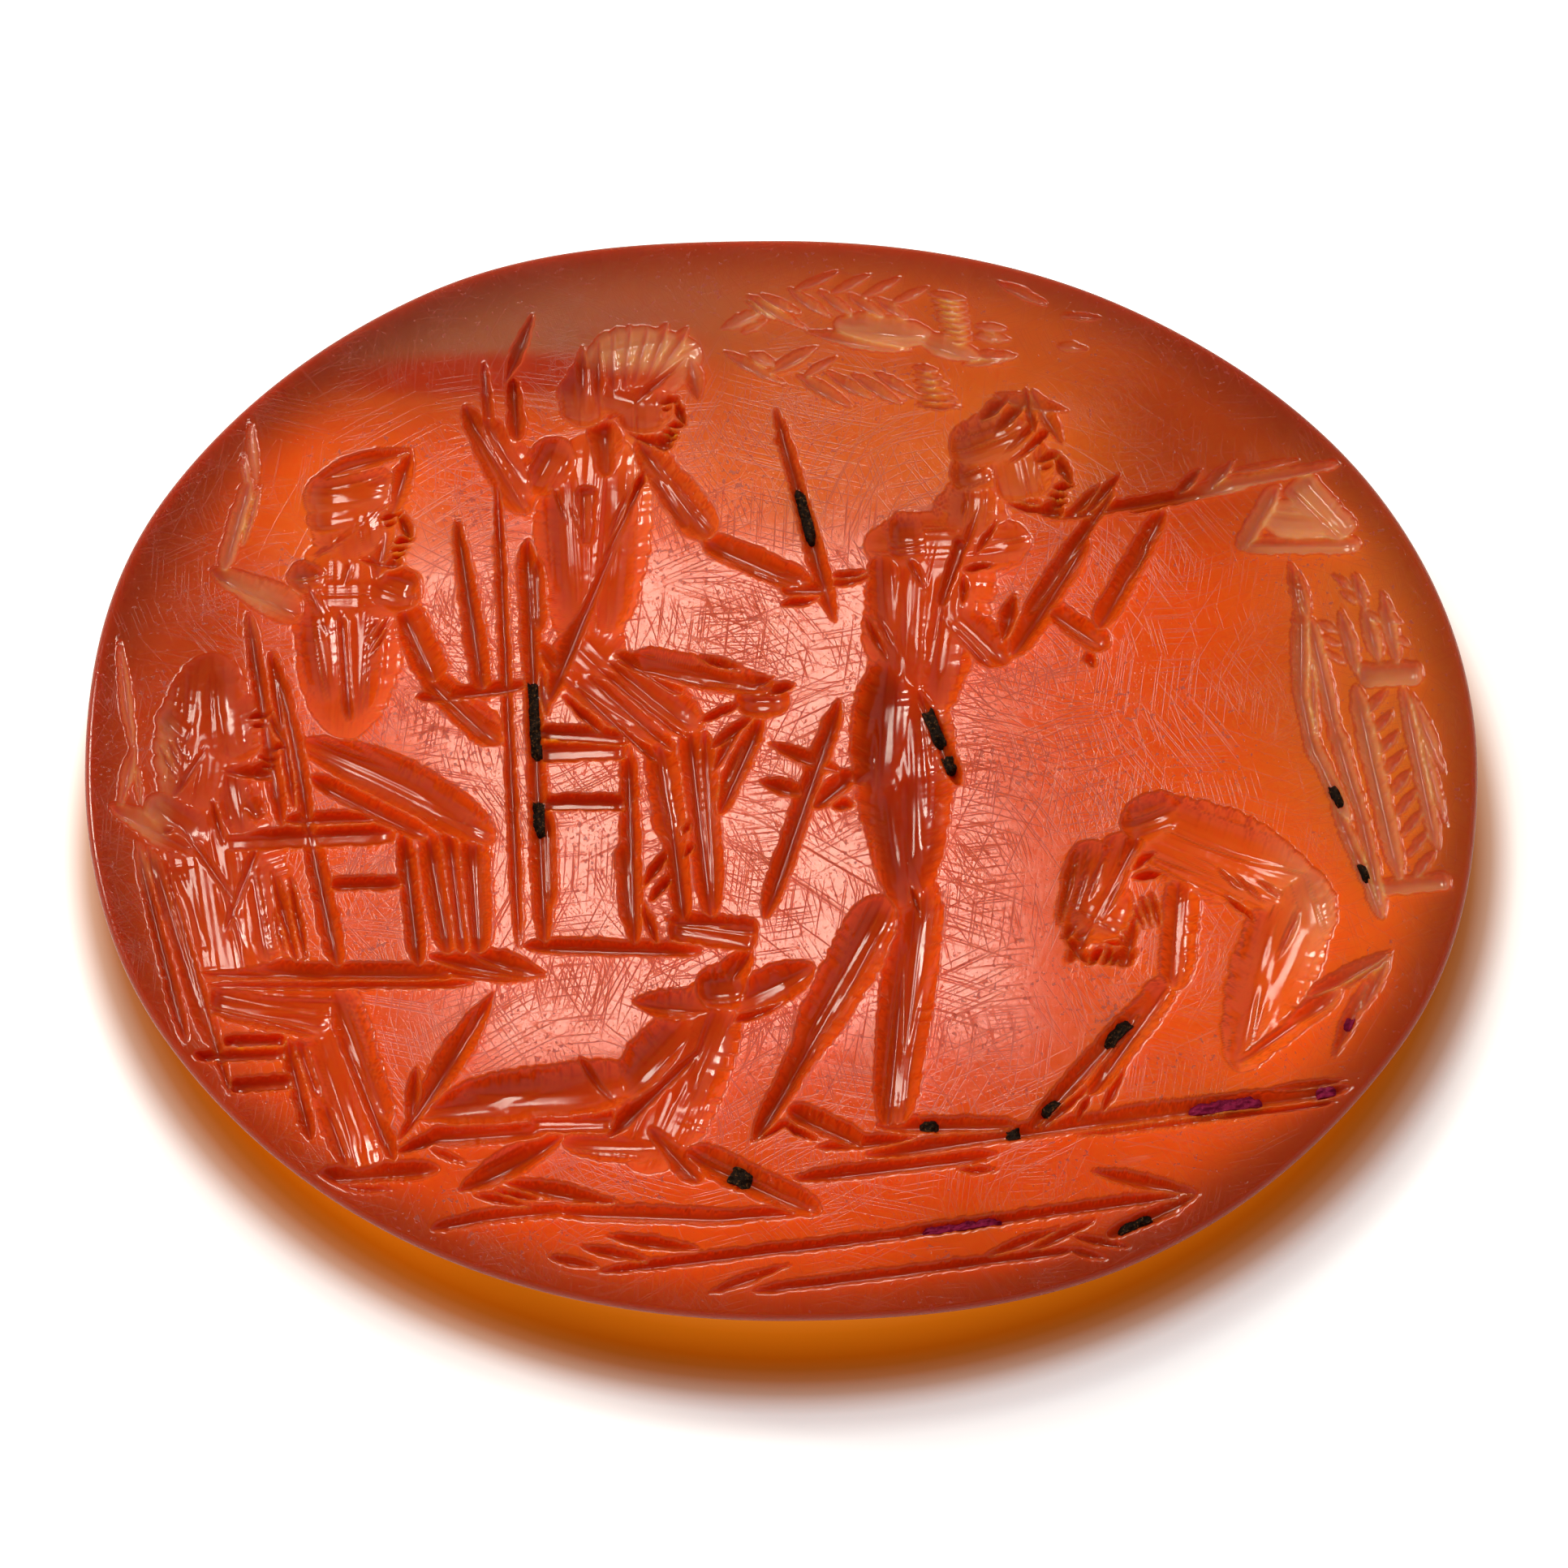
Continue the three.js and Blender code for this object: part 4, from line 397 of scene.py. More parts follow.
            [13.6, -66.3, 34.2, -66, 25, 21, 38], [1.8, -75.7, 31.2, -71.2, 20, 22, 40],
            [12, -71.6, 48, -64.3, 22, 27, 44], [40, -66, 82.6, -57.4, 28, 25, 45],
            [42, -67.5, 80, -60.1, 13, 11, 36],
        ],
    },
}

# Evenly stepped cuts, for the eagle's feathers and the quiver's hatching: first row, last row and
# count
CUT_COMBS = [
    ([20.9, 89.3, 26.8, 88, 12, 9, 30], [23.4, 80.4, 27.6, 79.9, 10, 9, 30], 8),
    ([19, 74.6, 22.8, 73.9, 11, 9, 28], [19.3, 67.3, 26, 66.8, 12, 10, 34], 6),
    ([83.9, 10.4, 87, 15.4, 15, 12, 30], [90.8, -19.2, 93.9, -13.8, 15, 12, 28], 9),
]

# Heads: middle u and v, height in hundredths of the half-width, lean in degrees, and the way each
# one faces
HEADS = [
    (-80.4, 8.4, 22, 4, 1),
    (-60.6, 45.6, 18, 2, 1),
    (-20.6, 67.4, 17, -4, 1),
    (33, 55.6, 21, 6, 1),
    (45.2, -25.6, 21, 62, -1),
]

# A plain face in shares of the head's height, forwards and up from its middle: skull and cheek,
# chin, then brow, eye, nose, underside of the nose, two lips and jaw
FACE_CUTS = {
    "hollow": [[0.02, 0.28, 0.08, -0.34, 0.66, 0.6, 56], [0.2, -0.42, 0.4, -0.44, 0.17, 0.15, 52]],
    "lens": [
        [0.16, 0.07, 0.43, 0.08, 0.08, 0.08, 62], [0.22, 0, 0.37, -0.01, 0.07, 0.07, 66],
        [0.37, 0.1, 0.5, -0.21, 0.1, 0.14, 58], [0.32, -0.23, 0.52, -0.21, 0.08, 0.08, 54],
        [0.28, -0.3, 0.46, -0.305, 0.07, 0.06, 52], [0.28, -0.36, 0.44, -0.365, 0.07, 0.06, 52],
        [0.4, -0.47, -0.08, -0.33, 0.1, 0.12, 54],
    ],
}

# Residue: CAD node, the row of the cut that it lies in, and where it starts and ends along it
BLACK_RESIDUE = [
    ("black_residue_lance", [-0.8, 66.6, 7.7, 25.4, 20, 29, 48], 0.37, 0.63),
    ("black_residue_throne_post_upper", [-35.9, 22, -33.8, -34.5, 23, 30, 48], 0.12, 0.38),
    ("black_residue_throne_post_lower", [-35.9, 22, -33.8, -34.5, 23, 30, 48], 0.51, 0.63),
    ("black_residue_belt_upper", [19.3, 14.7, 25.6, -4.9, 26, 25, 72], 0.24, 0.6),
    ("black_residue_belt_lower", [19.3, 14.7, 25.6, -4.9, 26, 25, 72], 0.68, 0.85),
    ("black_residue_bow_grip", [75.2, 8, 81.1, -8.7, 22, 22, 42], 0.62, 0.86),
    ("black_residue_bow_tip", [82, -12.8, 86.3, -27, 17, 18, 42], 0.24, 0.5),
    ("black_residue_forearm_upper", [52, -43.6, 34.8, -67.7, 30, 20, 48], 0.12, 0.32),
    ("black_residue_forearm_lower", [52, -43.6, 34.8, -67.7, 30, 20, 48], 0.72, 0.84),
    ("black_residue_ground_left", [13.6, -66.3, 34.2, -66, 25, 21, 38], 0.3, 0.44),
    ("black_residue_ground_middle", [12, -71.6, 48, -64.3, 22, 27, 44], 0.56, 0.62),
    ("black_residue_foreleg", [-14.2, -70.4, 5.7, -81.6, 46, 40, 54], 0.34, 0.5),
    ("black_residue_arrow_barb", [46.6, -85.2, 59.7, -77.3, 22, 16, 38], 0.12, 0.5),
]
PURPLE_RESIDUE = [
    ("purple_residue_ground", [40, -66, 82.6, -57.4, 28, 25, 45], 0.43, 0.68),
    ("purple_residue_ground_tip", [40, -66, 82.6, -57.4, 28, 25, 45], 0.86, 0.93),
    ("purple_residue_arrow_shaft", [12, -86.3, 60, -77, 17, 15, 40], 0.17, 0.41),
    ("purple_residue_rear_foot", [84.2, -37.8, 79, -52.7, 22, 17, 36], 0.46, 0.62),
]

# The relief is worked out on a raster of this pitch, in mm, and the mesh has this many corners
# along each way
RASTER_PITCH = 0.012
FACE_CORNERS = 700

# Power that shapes each form's section: low is a V, high is a flat floor
SECTION_POWERS = {"hollow": 2.3, "lens": 1.5, "line": 1.6, "bar": 4.0}
# How a form's width and its depth fade towards its ends: two powers for each, used by cut_shares
END_POWERS = {
    "hollow": (2.2, 0.5, 3, 0.8), "lens": (1.8, 0.9, 2, 0.7),
    "line": (6, 0.7, 6, 0.8), "bar": (16, 0.5, 12, 0.8),
}

# Marks of the wheel in mm: how far and how often a cut's edge wanders, a little more on broad cuts
CHATTER_DEPTH = 0.018
CHATTER_SHARE = 0.04
CHATTER_LENGTH = 0.17
TEETH_LENGTH = CHATTER_LENGTH * 0.3
CHATTER_MIX, TEETH_MIX = 0.5, 0.6
# Streaks along a cut's floor, full from this depth and width on
STREAK_PITCH = 0.085
FINE_STREAK_PITCH = STREAK_PITCH * 0.45
STREAK_LENGTH = 1.6
STREAK_DEPTH = 0.018
STREAK_MIX, FINE_STREAK_MIX = 0.65, 0.35
STREAKED_DEPTH, STREAKED_WIDTH = 0.1, 0.4
# Low ridges between the strokes of a broad cut
STROKE_PITCH = 0.19
STROKE_LENGTH = 3
RIDGE_HEIGHT = 0.03
RIDGE_SHARPNESS = 5
# How far two cuts that cross blend, and where the carving ends, as shares of the outline
BLEND_DEPTH = 0.07
CARVED_TO, CARVED_FADE = 0.992, 0.012
# Each kind of mark has its own random draws, this far apart
SEED_STEP = 500

# Steps round the rim and down the side, and the bevel's share that its middle ring takes
RIM_STEPS = 6
SIDE_STEPS = 6
BEVEL_SHARE = 0.3
# Raster points to each side over which an edge's sharpness is measured
EDGE_REACH = 3

# The flat map: scale and middle of the face and of the back, and the start, length, top and ring
# pitch of the side's strip
FACE_MAP = (0.98, 0.5, 0.58)
BACK_MAP = (0.16, 0.91, 0.075)
STRIP_MAP = (0.01, 0.8, 0.15, 0.009)

# A crumb of residue, in mm: steps along it and corners across, then its width as a share of the
# cut's, how far and how often that wanders, and the length of its ragged ends
CRUMB_STEP = 0.018
CRUMB_CORNERS_ACROSS = 17
CRUMB_WIDTH = 0.6
CRUMB_WANDER = 0.08
CRUMB_WANDER_LENGTH = 0.15
CRUMB_RAGGED = 0.12
# How full of it the cut is, and its lumps and grains: width, length, height and the seed's shift
CRUMB_FILL = 0.52
CRUMB_LUMPS = ((0.06, 0.09, 0.04, 0), (0.025, 0.03, 0.02, 90))
# How far its ends and its underside sink below the cut's floor, and how deep its top may hide
CRUMB_SINK = 0.03
CRUMB_SKIN = 0.012

# Camera: elevation in degrees, lens, sensor and view width in mm, reach in m, and how many pixels
# the stone stands left of and above the middle of a frame of this size
CAMERA_ELEVATION = 69.7
CAMERA_LENS = 1600
SENSOR_WIDTH = 36
VIEW_WIDTH = 21.389
CAMERA_REACH = (0.01, 10)
IMAGE_PIXELS = 1932
STONE_PIXELS_LEFT = 3.5
STONE_PIXELS_UP = 9

# Softbox that the face mirrors: its aim's offset from the mirror direction, size in mm and radiance
SOFTBOX_OFFSET = (-0.036, -0.03)
SOFTBOX_SIZE = (70, 97)
SOFTBOX_RADIANCE = 16
# Side box: aim, size in mm and radiance; then the distance in mm and the colour of both
SIDE_BOX_AIM = (-0.75, 0.3, 0.6)
SIDE_BOX_SIZE = (60, 60)
SIDE_BOX_RADIANCE = 28
LAMP_DISTANCE = 250
LAMP_COLOUR = (1.0, 0.96, 0.82)
# Light tent: brightness of its walls and roof, and the heights between which one turns to the other
TENT_WALL = 0.46
TENT_ROOF = 0.08
TENT_SHARES = (0.55, 0.8)
# The floor's half-size and drop in mm, and how brightly the camera sees its light
FLOOR_REACH = 600
FLOOR_DROP = 0.005
FLOOR_GLOW = 0.62

# Patches of colour in the stone, some of them its own stain and some painted light and painted
# shade: colour, middle u and v, radii, softness and strength
STAIN_AND_PAINTED_LIGHT_PATCHES = [
    # Painted light: the brighter orange low in the middle stands in for light that comes through
    # the stone
    ("E4540A", (10, -62), (80, 44), 1.2, 0.9),
    # Painted shade: browner at the top
    ("983C12", (50, 74), (62, 30), 1.1, 0.8),
    ("A04A20", (-40, 88), (70, 24), 1.0, 0.8),
    ("CC7026", (94, 8), (24, 60), 1.1, 0.75),
    # Painted shade: darker at the left rim
    ("A23A14", (-96, 20), (22, 70), 1.1, 0.8),
    ("9A6048", (-40, 84), (40, 9), 1.2, 0.75),
    ("A82A06", (-42, 73.5), (22, 4), 0.9, 0.8),
    # Painted light: the two heads glow brighter orange where light comes through the thin stone
    ("E46A18", (-60, 44), (14, 14), 1.1, 0.6),
    ("E07020", (32, 60), (16, 14), 1.1, 0.6),
    ("F06414", (70, -40), (26, 36), 1.1, 0.8),
    ("D2641E", (20, 80), (30, 14), 1.1, 0.5),
    ("EA7A30", (2, 57), (30, 16), 1.1, 0.5),
]

# Other soft ovals: middle u and v, radii and softness
# The painted shade at the rim starts outside this oval
INNER_STONE = ((0, 0), (96, 96), 0.14)
THICK_STONE = ((-22, -5), (68, 85), 0.8)
DEEPEST_PLACE = ((17.5, -6), (13, 26), 0.7)
WORN_PLACE = ((-8, -2), (60, 66), 0.9)

# Places where the cuts are frosty and pale: middle u and v, and radii
FROST_SOFTNESS = 0.7
FROSTED_PLACES = [
    ((15, 80), (28, 14)), ((76, 50), (15, 13)), ((86, 2), (15, 44)), ((-76, 50), (8, 22)),
    ((-94, 5), (6, 24)), ((-18, 81), (14, 6)),
]

# Sets of scratches: angle in degrees, length and width in mm, and share of them that show
SCRATCH_SETS = [
    (14, 2.2, 0.02, 0.36), (52, 1.4, 0.019, 0.38), (-28, 1.8, 0.019, 0.36), (97, 1.1, 0.019, 0.34),
    (-64, 2.4, 0.022, 0.24), (33, 4.0, 0.024, 0.16), (-9, 0.9, 0.018, 0.4), (72, 0.7, 0.018, 0.36),
]
# Each set lies this far from the one before, in metres
SCRATCH_SHIFT = (0.0037, 0.0091, 0.0053)
# Size of a scratch in its cell, the share of it at full strength, and how soon a chosen one shows
SCRATCH_REACH = 0.3
SCRATCH_CORE = 0.35
SCRATCH_ONSET = 0.08
# How far a scratch swerves, and over what length, in mm
SWERVE = 0.8
SWERVE_LENGTH = 5

# Noise in the stone: size in mm, detail and roughness. It makes the clouds of stain, ragged pits
# and the crowds that they come in, fine speckle, patches of the polish and the grit's marks.
STONE_NOISE = {
    "clouds": (3.2, 3, 0.5), "grains": (0.075, 3, 0.6), "crowd": (1.3, 4, 0.65),
    "speckle": (0.035, 2, 0.5), "patchy": (0.35, 5, 0.65), "grit": (0.05, 2, 0.5),
}

# Masks: what each one reads, and the range that it turns from and to
STONE_MASKS = {
    "cloudy": ("clouds", (0.5, 0.8), (0, 0.35)),
    # Painted shade: the stone is painted darker towards its rim
    "rim": ("inner", (0, 1), (0.85, 0)),
    "deep": ("depth", (0.04, 0.45), (0, 0.75)),
    "sunk": ("depth", (0.3, 0.75), (0, 0.6)),
    "shallow": ("depth", (0.01, 0.14), (0, 0.6)),
    "uncut": ("depth", (0, 0.04), (1, 0)),
    # Painted shade: the bottoms of grooves and the crests between them are darkened; on a crest it
    # holds back the bright line that light under the surface gives it
    "foot": ("bottom", (0.1, 0.8), (0, 0.4)),
    "edge": ("crest", (0.1, 0.8), (0, 0.7)),
    "specks": ("speckle", (0.6, 0.7), (0, 0.6)),
    "matt": ("patchy", (0.35, 0.6), (0, 0.1)),
}

# Painted light and shadow on the floor round the stone: share of the stone's outline and colour
# there, the span of those shares, and how far the light is shifted to the right, in shares of the
# half-length
FLOOR_LIGHT = [
    (0.85, "F48925"), (0.9, "CA6A0C"), (0.945, "A74F04"), (0.965, "9D5216"), (0.985, "A2643A"),
    (1.01, "B7917B"), (1.03, "D6C4BC"), (1.05, "ECE6E3"), (1.1, "FFFFFF"),
]
FLOOR_SPAN = (0.8, 1.2)
FLOOR_SHIFT = 0.012

# The carved face's raster, kept for the residue that lies on it
RASTERS = {}


def linear(hex_colour):
    """Linear RGBA of an sRGB hex colour."""
    channels = [int(hex_colour[place:place + 2], 16) / 255 for place in (0, 2, 4)]
    return (*(c / 12.92 if c <= 0.04045 else ((c + 0.055) / 1.055) ** 2.4 for c in channels), 1.0)


def add_node(tree, kind, links=None, **settings):
    """Adds a node with its settings. Links maps a socket to a value or to another node's socket."""
    node = tree.nodes.new(kind)
    for name, value in settings.items():
        setattr(node, name, value)
    for socket, value in (links or {}).items():
        if isinstance(value, bpy.types.NodeSocket):
            tree.links.new(value, node.inputs[socket])
        else:
            node.inputs[socket].default_value = value
    return node


def new_material(name):
    """A material with an empty node tree."""
    material = bpy.data.materials.new(name)
    material.use_nodes = True
    material.node_tree.nodes.clear()
    return material, material.node_tree


def soft_noise(across, along, seed):
    """Smooth noise from -1 to 1 at each place, with a period of about 1."""
    count = 64
    lattice = np.random.default_rng(seed).uniform(-1, 1, (count, count))
    column, row = np.floor(across).astype(int), np.floor(along).astype(int)
    ease_x, ease_y = across - column, along - row
    ease_x = ease_x * ease_x * (3 - 2 * ease_x)
    ease_y = ease_y * ease_y * (3 - 2 * ease_y)
    left, right = column % count, (column + 1) % count
    below, above = row % count, (row + 1) % count
    low = lattice[below, left] * (1 - ease_x) + lattice[below, right] * ease_x
    high = lattice[above, left] * (1 - ease_x) + lattice[above, right] * ease_x
    return low * (1 - ease_y) + high * ease_y


def swell_at(angle):
    """The outline's radius at an angle, eased between the listed swells."""
    swells = np.array(OUTLINE_SWELLS)
    turn = (angle / (2 * math.pi) * len(swells)) % len(swells)
    before = np.floor(turn).astype(int) % len(swells)
    ease = (1 - np.cos((turn - np.floor(turn)) * math.pi)) / 2
    return 1 + swells[before] * (1 - ease) + swells[(before + 1) % len(swells)] * ease


def outline_box():
    """Middle and half-size of the swelled unit outline."""
    angles = np.linspace(0, 2 * math.pi, 3600, endpoint=False)
    spots = np.stack([np.cos(angles), np.sin(angles)], 1) * swell_at(angles)[:, None]
    low, high = spots.min(0), spots.max(0)
    return (low + high) / 2, (high - low) / 2


OUTLINE_MIDDLE, OUTLINE_HALF = outline_box()


def outline_share(x, y):
    """How far out a place on the face lies, as a share of the way to the outline."""
    across = x / FACE_HALF_LENGTH * OUTLINE_HALF[0] + OUTLINE_MIDDLE[0]
    up = y / FACE_HALF_WIDTH * OUTLINE_HALF[1] + OUTLINE_MIDDLE[1]
    return np.hypot(across, up) / swell_at(np.arctan2(up, across))


def outline_point(unit_x, unit_y):
    """Place in mm of a point on the unit disc, after the outline's swell."""
    swell = swell_at(np.arctan2(unit_y, unit_x))
    x = (unit_x * swell - OUTLINE_MIDDLE[0]) / OUTLINE_HALF[0] * STONE_LENGTH / 2
    y = (unit_y * swell - OUTLINE_MIDDLE[1]) / OUTLINE_HALF[1] * STONE_WIDTH / 2
    return x, y


def dome_height(x, y):
    """Height of the uncut face at places on it, in mm."""
    reach = np.minimum(outline_share(x, y), 1)
    return FACE_EDGE_HEIGHT + DOME_RISE * (1 - reach * reach)


def read_row(row, form):
    """A cut's real sizes in mm, from its row of hundredths."""
    u0, v0, u1, v1, w0, w1, depth = [value / 100 for value in row[:7]]
    return {
        "start": (u0 * STONE_LENGTH / 2, v0 * STONE_WIDTH / 2),
        "end": (u1 * STONE_LENGTH / 2, v1 * STONE_WIDTH / 2),
        "widths": (w0 * BROAD_WHEEL_WIDTH, w1 * BROAD_WHEEL_WIDTH),
        "depth": depth * DEEPEST_CUT,
        "bow": row[7] / 100 if len(row) > 7 else 0,
        "form": form,
    }


def face_rows(head):
    """Cuts of a head's plain face."""
    u, v, height, lean, facing = head
    size = height / 100 * STONE_WIDTH / 2
    middle = np.array([u / 100 * STONE_LENGTH / 2, v / 100 * STONE_WIDTH / 2])
    turn = math.radians(lean)
    forwards = np.array([math.cos(turn), math.sin(turn)]) * facing * size
    upwards = np.array([-math.sin(turn), math.cos(turn)]) * size
    cuts = []
    for form, rows in FACE_CUTS.items():
        for x0, y0, x1, y1, w0, w1, depth in rows:
            cuts.append({
                "start": tuple(middle + forwards * x0 + upwards * y0),
                "end": tuple(middle + forwards * x1 + upwards * y1),
                "widths": (max(w0 * size, FINEST_WHEEL_WIDTH), max(w1 * size, FINEST_WHEEL_WIDTH)),
                "depth": depth / 100 * DEEPEST_CUT,
                "bow": 0,
                "form": form,
            })
    return cuts


def all_cuts():
    """Every wheel cut of the scene."""
    cuts = [read_row(row, form) for forms in CUTS.values()
            for form, rows in forms.items() for row in rows]
    for first, last, count in CUT_COMBS:
        for step in range(count):
            share = step / (count - 1)
            row = [a + (b - a) * share for a, b in zip(first, last)]
            cuts.append(read_row(row, "lens"))
    for head in HEADS:
        cuts += face_rows(head)
    return cuts


def width_at(cut, progress):
    """A cut's width in mm at a share of the way along it, before its ends fade."""
    return cut["widths"][0] + (cut["widths"][1] - cut["widths"][0]) * progress


def cut_shares(form, along):
    """Shares of a cut's width and depth along it, from -1 to 1."""
    far = np.clip(np.abs(along), 0, 1)
    width_in, width_out, depth_in, depth_out = END_POWERS[form]
    return (1 - far ** width_in) ** width_out, (1 - far ** depth_in) ** depth_out


def carve_relief():
    """Depth in mm of the cut face on a raster, with the raster's x and y values."""
    xs = np.arange(-STONE_LENGTH / 2, STONE_LENGTH / 2, RASTER_PITCH)
    ys = np.arange(-STONE_WIDTH / 2, STONE_WIDTH / 2, RASTER_PITCH)
    relief = np.zeros((len(ys), len(xs)), np.float32)
    for number, cut in enumerate(all_cuts()):
        start, end = np.array(cut["start"]), np.array(cut["end"])
        way = end - start
        length = float(np.hypot(*way))
        broad, bow = max(cut["widths"]), cut["bow"]
        # The patch of the raster that the cut may touch, three quarters of its width to each side
        reach = broad * 0.75 + abs(bow) * length
        low, high = np.minimum(start, end) - reach, np.maximum(start, end) + reach
        x0, x1 = np.searchsorted(xs, (low[0], high[0]))
        y0, y1 = np.searchsorted(ys, (low[1], high[1]))
        x, y = np.meshgrid(xs[x0:x1] - start[0], ys[y0:y1] - start[1])
        progress = (x * way[0] + y * way[1]) / length ** 2
        travel = progress * length
        along = 2 * progress - 1
        side = (y * way[0] - x * way[1]) / length - bow * length * (1 - along ** 2)
        width_share, depth_share = cut_shares(cut["form"], along)
        half = width_at(cut, progress) / 2 * width_share
        # The wheel chatters along its edges, each side with its own row of noise
        chatter = soft_noise(travel / CHATTER_LENGTH, np.sign(side) * 7 + 20, number)
        teeth = soft_noise(travel / TEETH_LENGTH, np.sign(side) * 5 + 40, number + SEED_STEP)
        ragged = chatter * CHATTER_MIX + teeth * TEETH_MIX
        half = np.maximum(half + ragged * (CHATTER_DEPTH + CHATTER_SHARE * half), 1e-4)
        across = np.abs(side) / half
        inside = (np.abs(along) < 1) & (across < 1)
        hollow = 1 - np.minimum(across, 1) ** SECTION_POWERS[cut["form"]]
        depth = cut["depth"] * depth_share * hollow
        # Lengthwise streaks that the grit leaves on the floor of a cut
        streaks = soft_noise(side / STREAK_PITCH, travel / STREAK_LENGTH, number + 2 * SEED_STEP)
        finer = soft_noise(side / FINE_STREAK_PITCH, travel / STREAK_LENGTH, number + 3 * SEED_STEP)
        floor = np.minimum(depth / STREAKED_DEPTH, 1) * min(broad / STREAKED_WIDTH, 1)
        depth = depth + (streaks * STREAK_MIX + finer * FINE_STREAK_MIX) * floor * STREAK_DEPTH
        # A broad cut takes several strokes, with a low ridge left between two of them
        strokes = soft_noise(side / STROKE_PITCH, travel / STROKE_LENGTH + 11,
                             number + 4 * SEED_STEP)
        ridges = np.clip(1 - np.abs(strokes) * RIDGE_SHARPNESS, 0, 1)
        depth = depth - ridges * floor * RIDGE_HEIGHT * (broad > STROKE_PITCH * 2)
        depth = np.where(inside, depth, 0)
        # Where two cuts cross at about one depth, the later one takes the ridge between them down
        patch = relief[y0:y1, x0:x1]
        near = np.clip(1 - np.abs(patch - depth) / BLEND_DEPTH, 0, 1)
        shallow = np.clip(np.minimum(patch, depth) / BLEND_DEPTH, 0, 1)
        patch[:] = np.maximum(patch, depth) + near ** 2 * shallow * BLEND_DEPTH / 4
    relief *= np.clip((CARVED_TO - outline_share(*np.meshgrid(xs, ys))) / CARVED_FADE, 0, 1)
    return xs, ys, relief


def relief_at(raster, x, y):
    """A raster's value at places in mm, straight between its points."""
    xs, ys, values = raster
    column = np.clip((x - xs[0]) / RASTER_PITCH, 0, len(xs) - 1.001)
    row = np.clip((y - ys[0]) / RASTER_PITCH, 0, len(ys) - 1.001)
    c, r = column.astype(int), row.astype(int)
    right, up = column - c, row - r
    low = values[r, c] * (1 - right) + values[r, c + 1] * right
    high = values[r + 1, c] * (1 - right) + values[r + 1, c + 1] * right
    return low * (1 - up) + high * up


def edge_sharpness(raster):
    """How strongly the surface turns at each raster point: over 0 on a crest, under 0 in a foot."""
    xs, ys, relief = raster
    reach = EDGE_REACH
    padded = np.pad(relief, reach, mode="edge")
    turn = (padded[2 * reach:, reach:-reach] + padded[:-2 * reach, reach:-reach]
            + padded[reach:-reach, 2 * reach:] + padded[reach:-reach, :-2 * reach] - 4 * relief)
    return xs, ys, turn / (reach * RASTER_PITCH)


def disc_corners(count):
    """Corners of a square grid laid over the unit disc, row by row."""
    steps = np.linspace(-1, 1, count)
    a, b = np.meshgrid(steps, steps)
    wide = np.abs(a) > np.abs(b)
    radius = np.where(wide, a, b)
    safe_a, safe_b = np.where(a == 0, 1, a), np.where(b == 0, 1, b)
    angle = np.where(wide, math.pi / 4 * b / safe_a, math.pi / 2 - math.pi / 4 * a / safe_b)
    angle = np.where((a == 0) & (b == 0), 0, angle)
    return (radius * np.cos(angle)).ravel(), (radius * np.sin(angle)).ravel()


def edge_loop(grid):
    """A grid's values round its edge, from its first corner on."""
    return np.concatenate([grid[0, :-1], grid[:-1, -1], grid[-1, :0:-1], grid[:0:-1, 0]])


def quads_between(low, high):
    """Faces between two loops of corner indices of one length."""
    return np.stack([low, np.roll(low, -1), np.roll(high, -1), high], 1)


def new_piece(name, points, faces, material):
    """A smooth-shaded mesh object with points in mm."""
    mesh = bpy.data.meshes.new(name)
    mesh.from_pydata((np.asarray(points) * MM).tolist(), [], [list(face) for face in faces])
    mesh.validate()
    mesh.polygons.foreach_set("use_smooth", np.ones(len(mesh.polygons), bool))
    mesh.materials.append(material)
    piece = bpy.data.objects.new(name, mesh)
    bpy.context.scene.collection.objects.link(piece)
    return piece


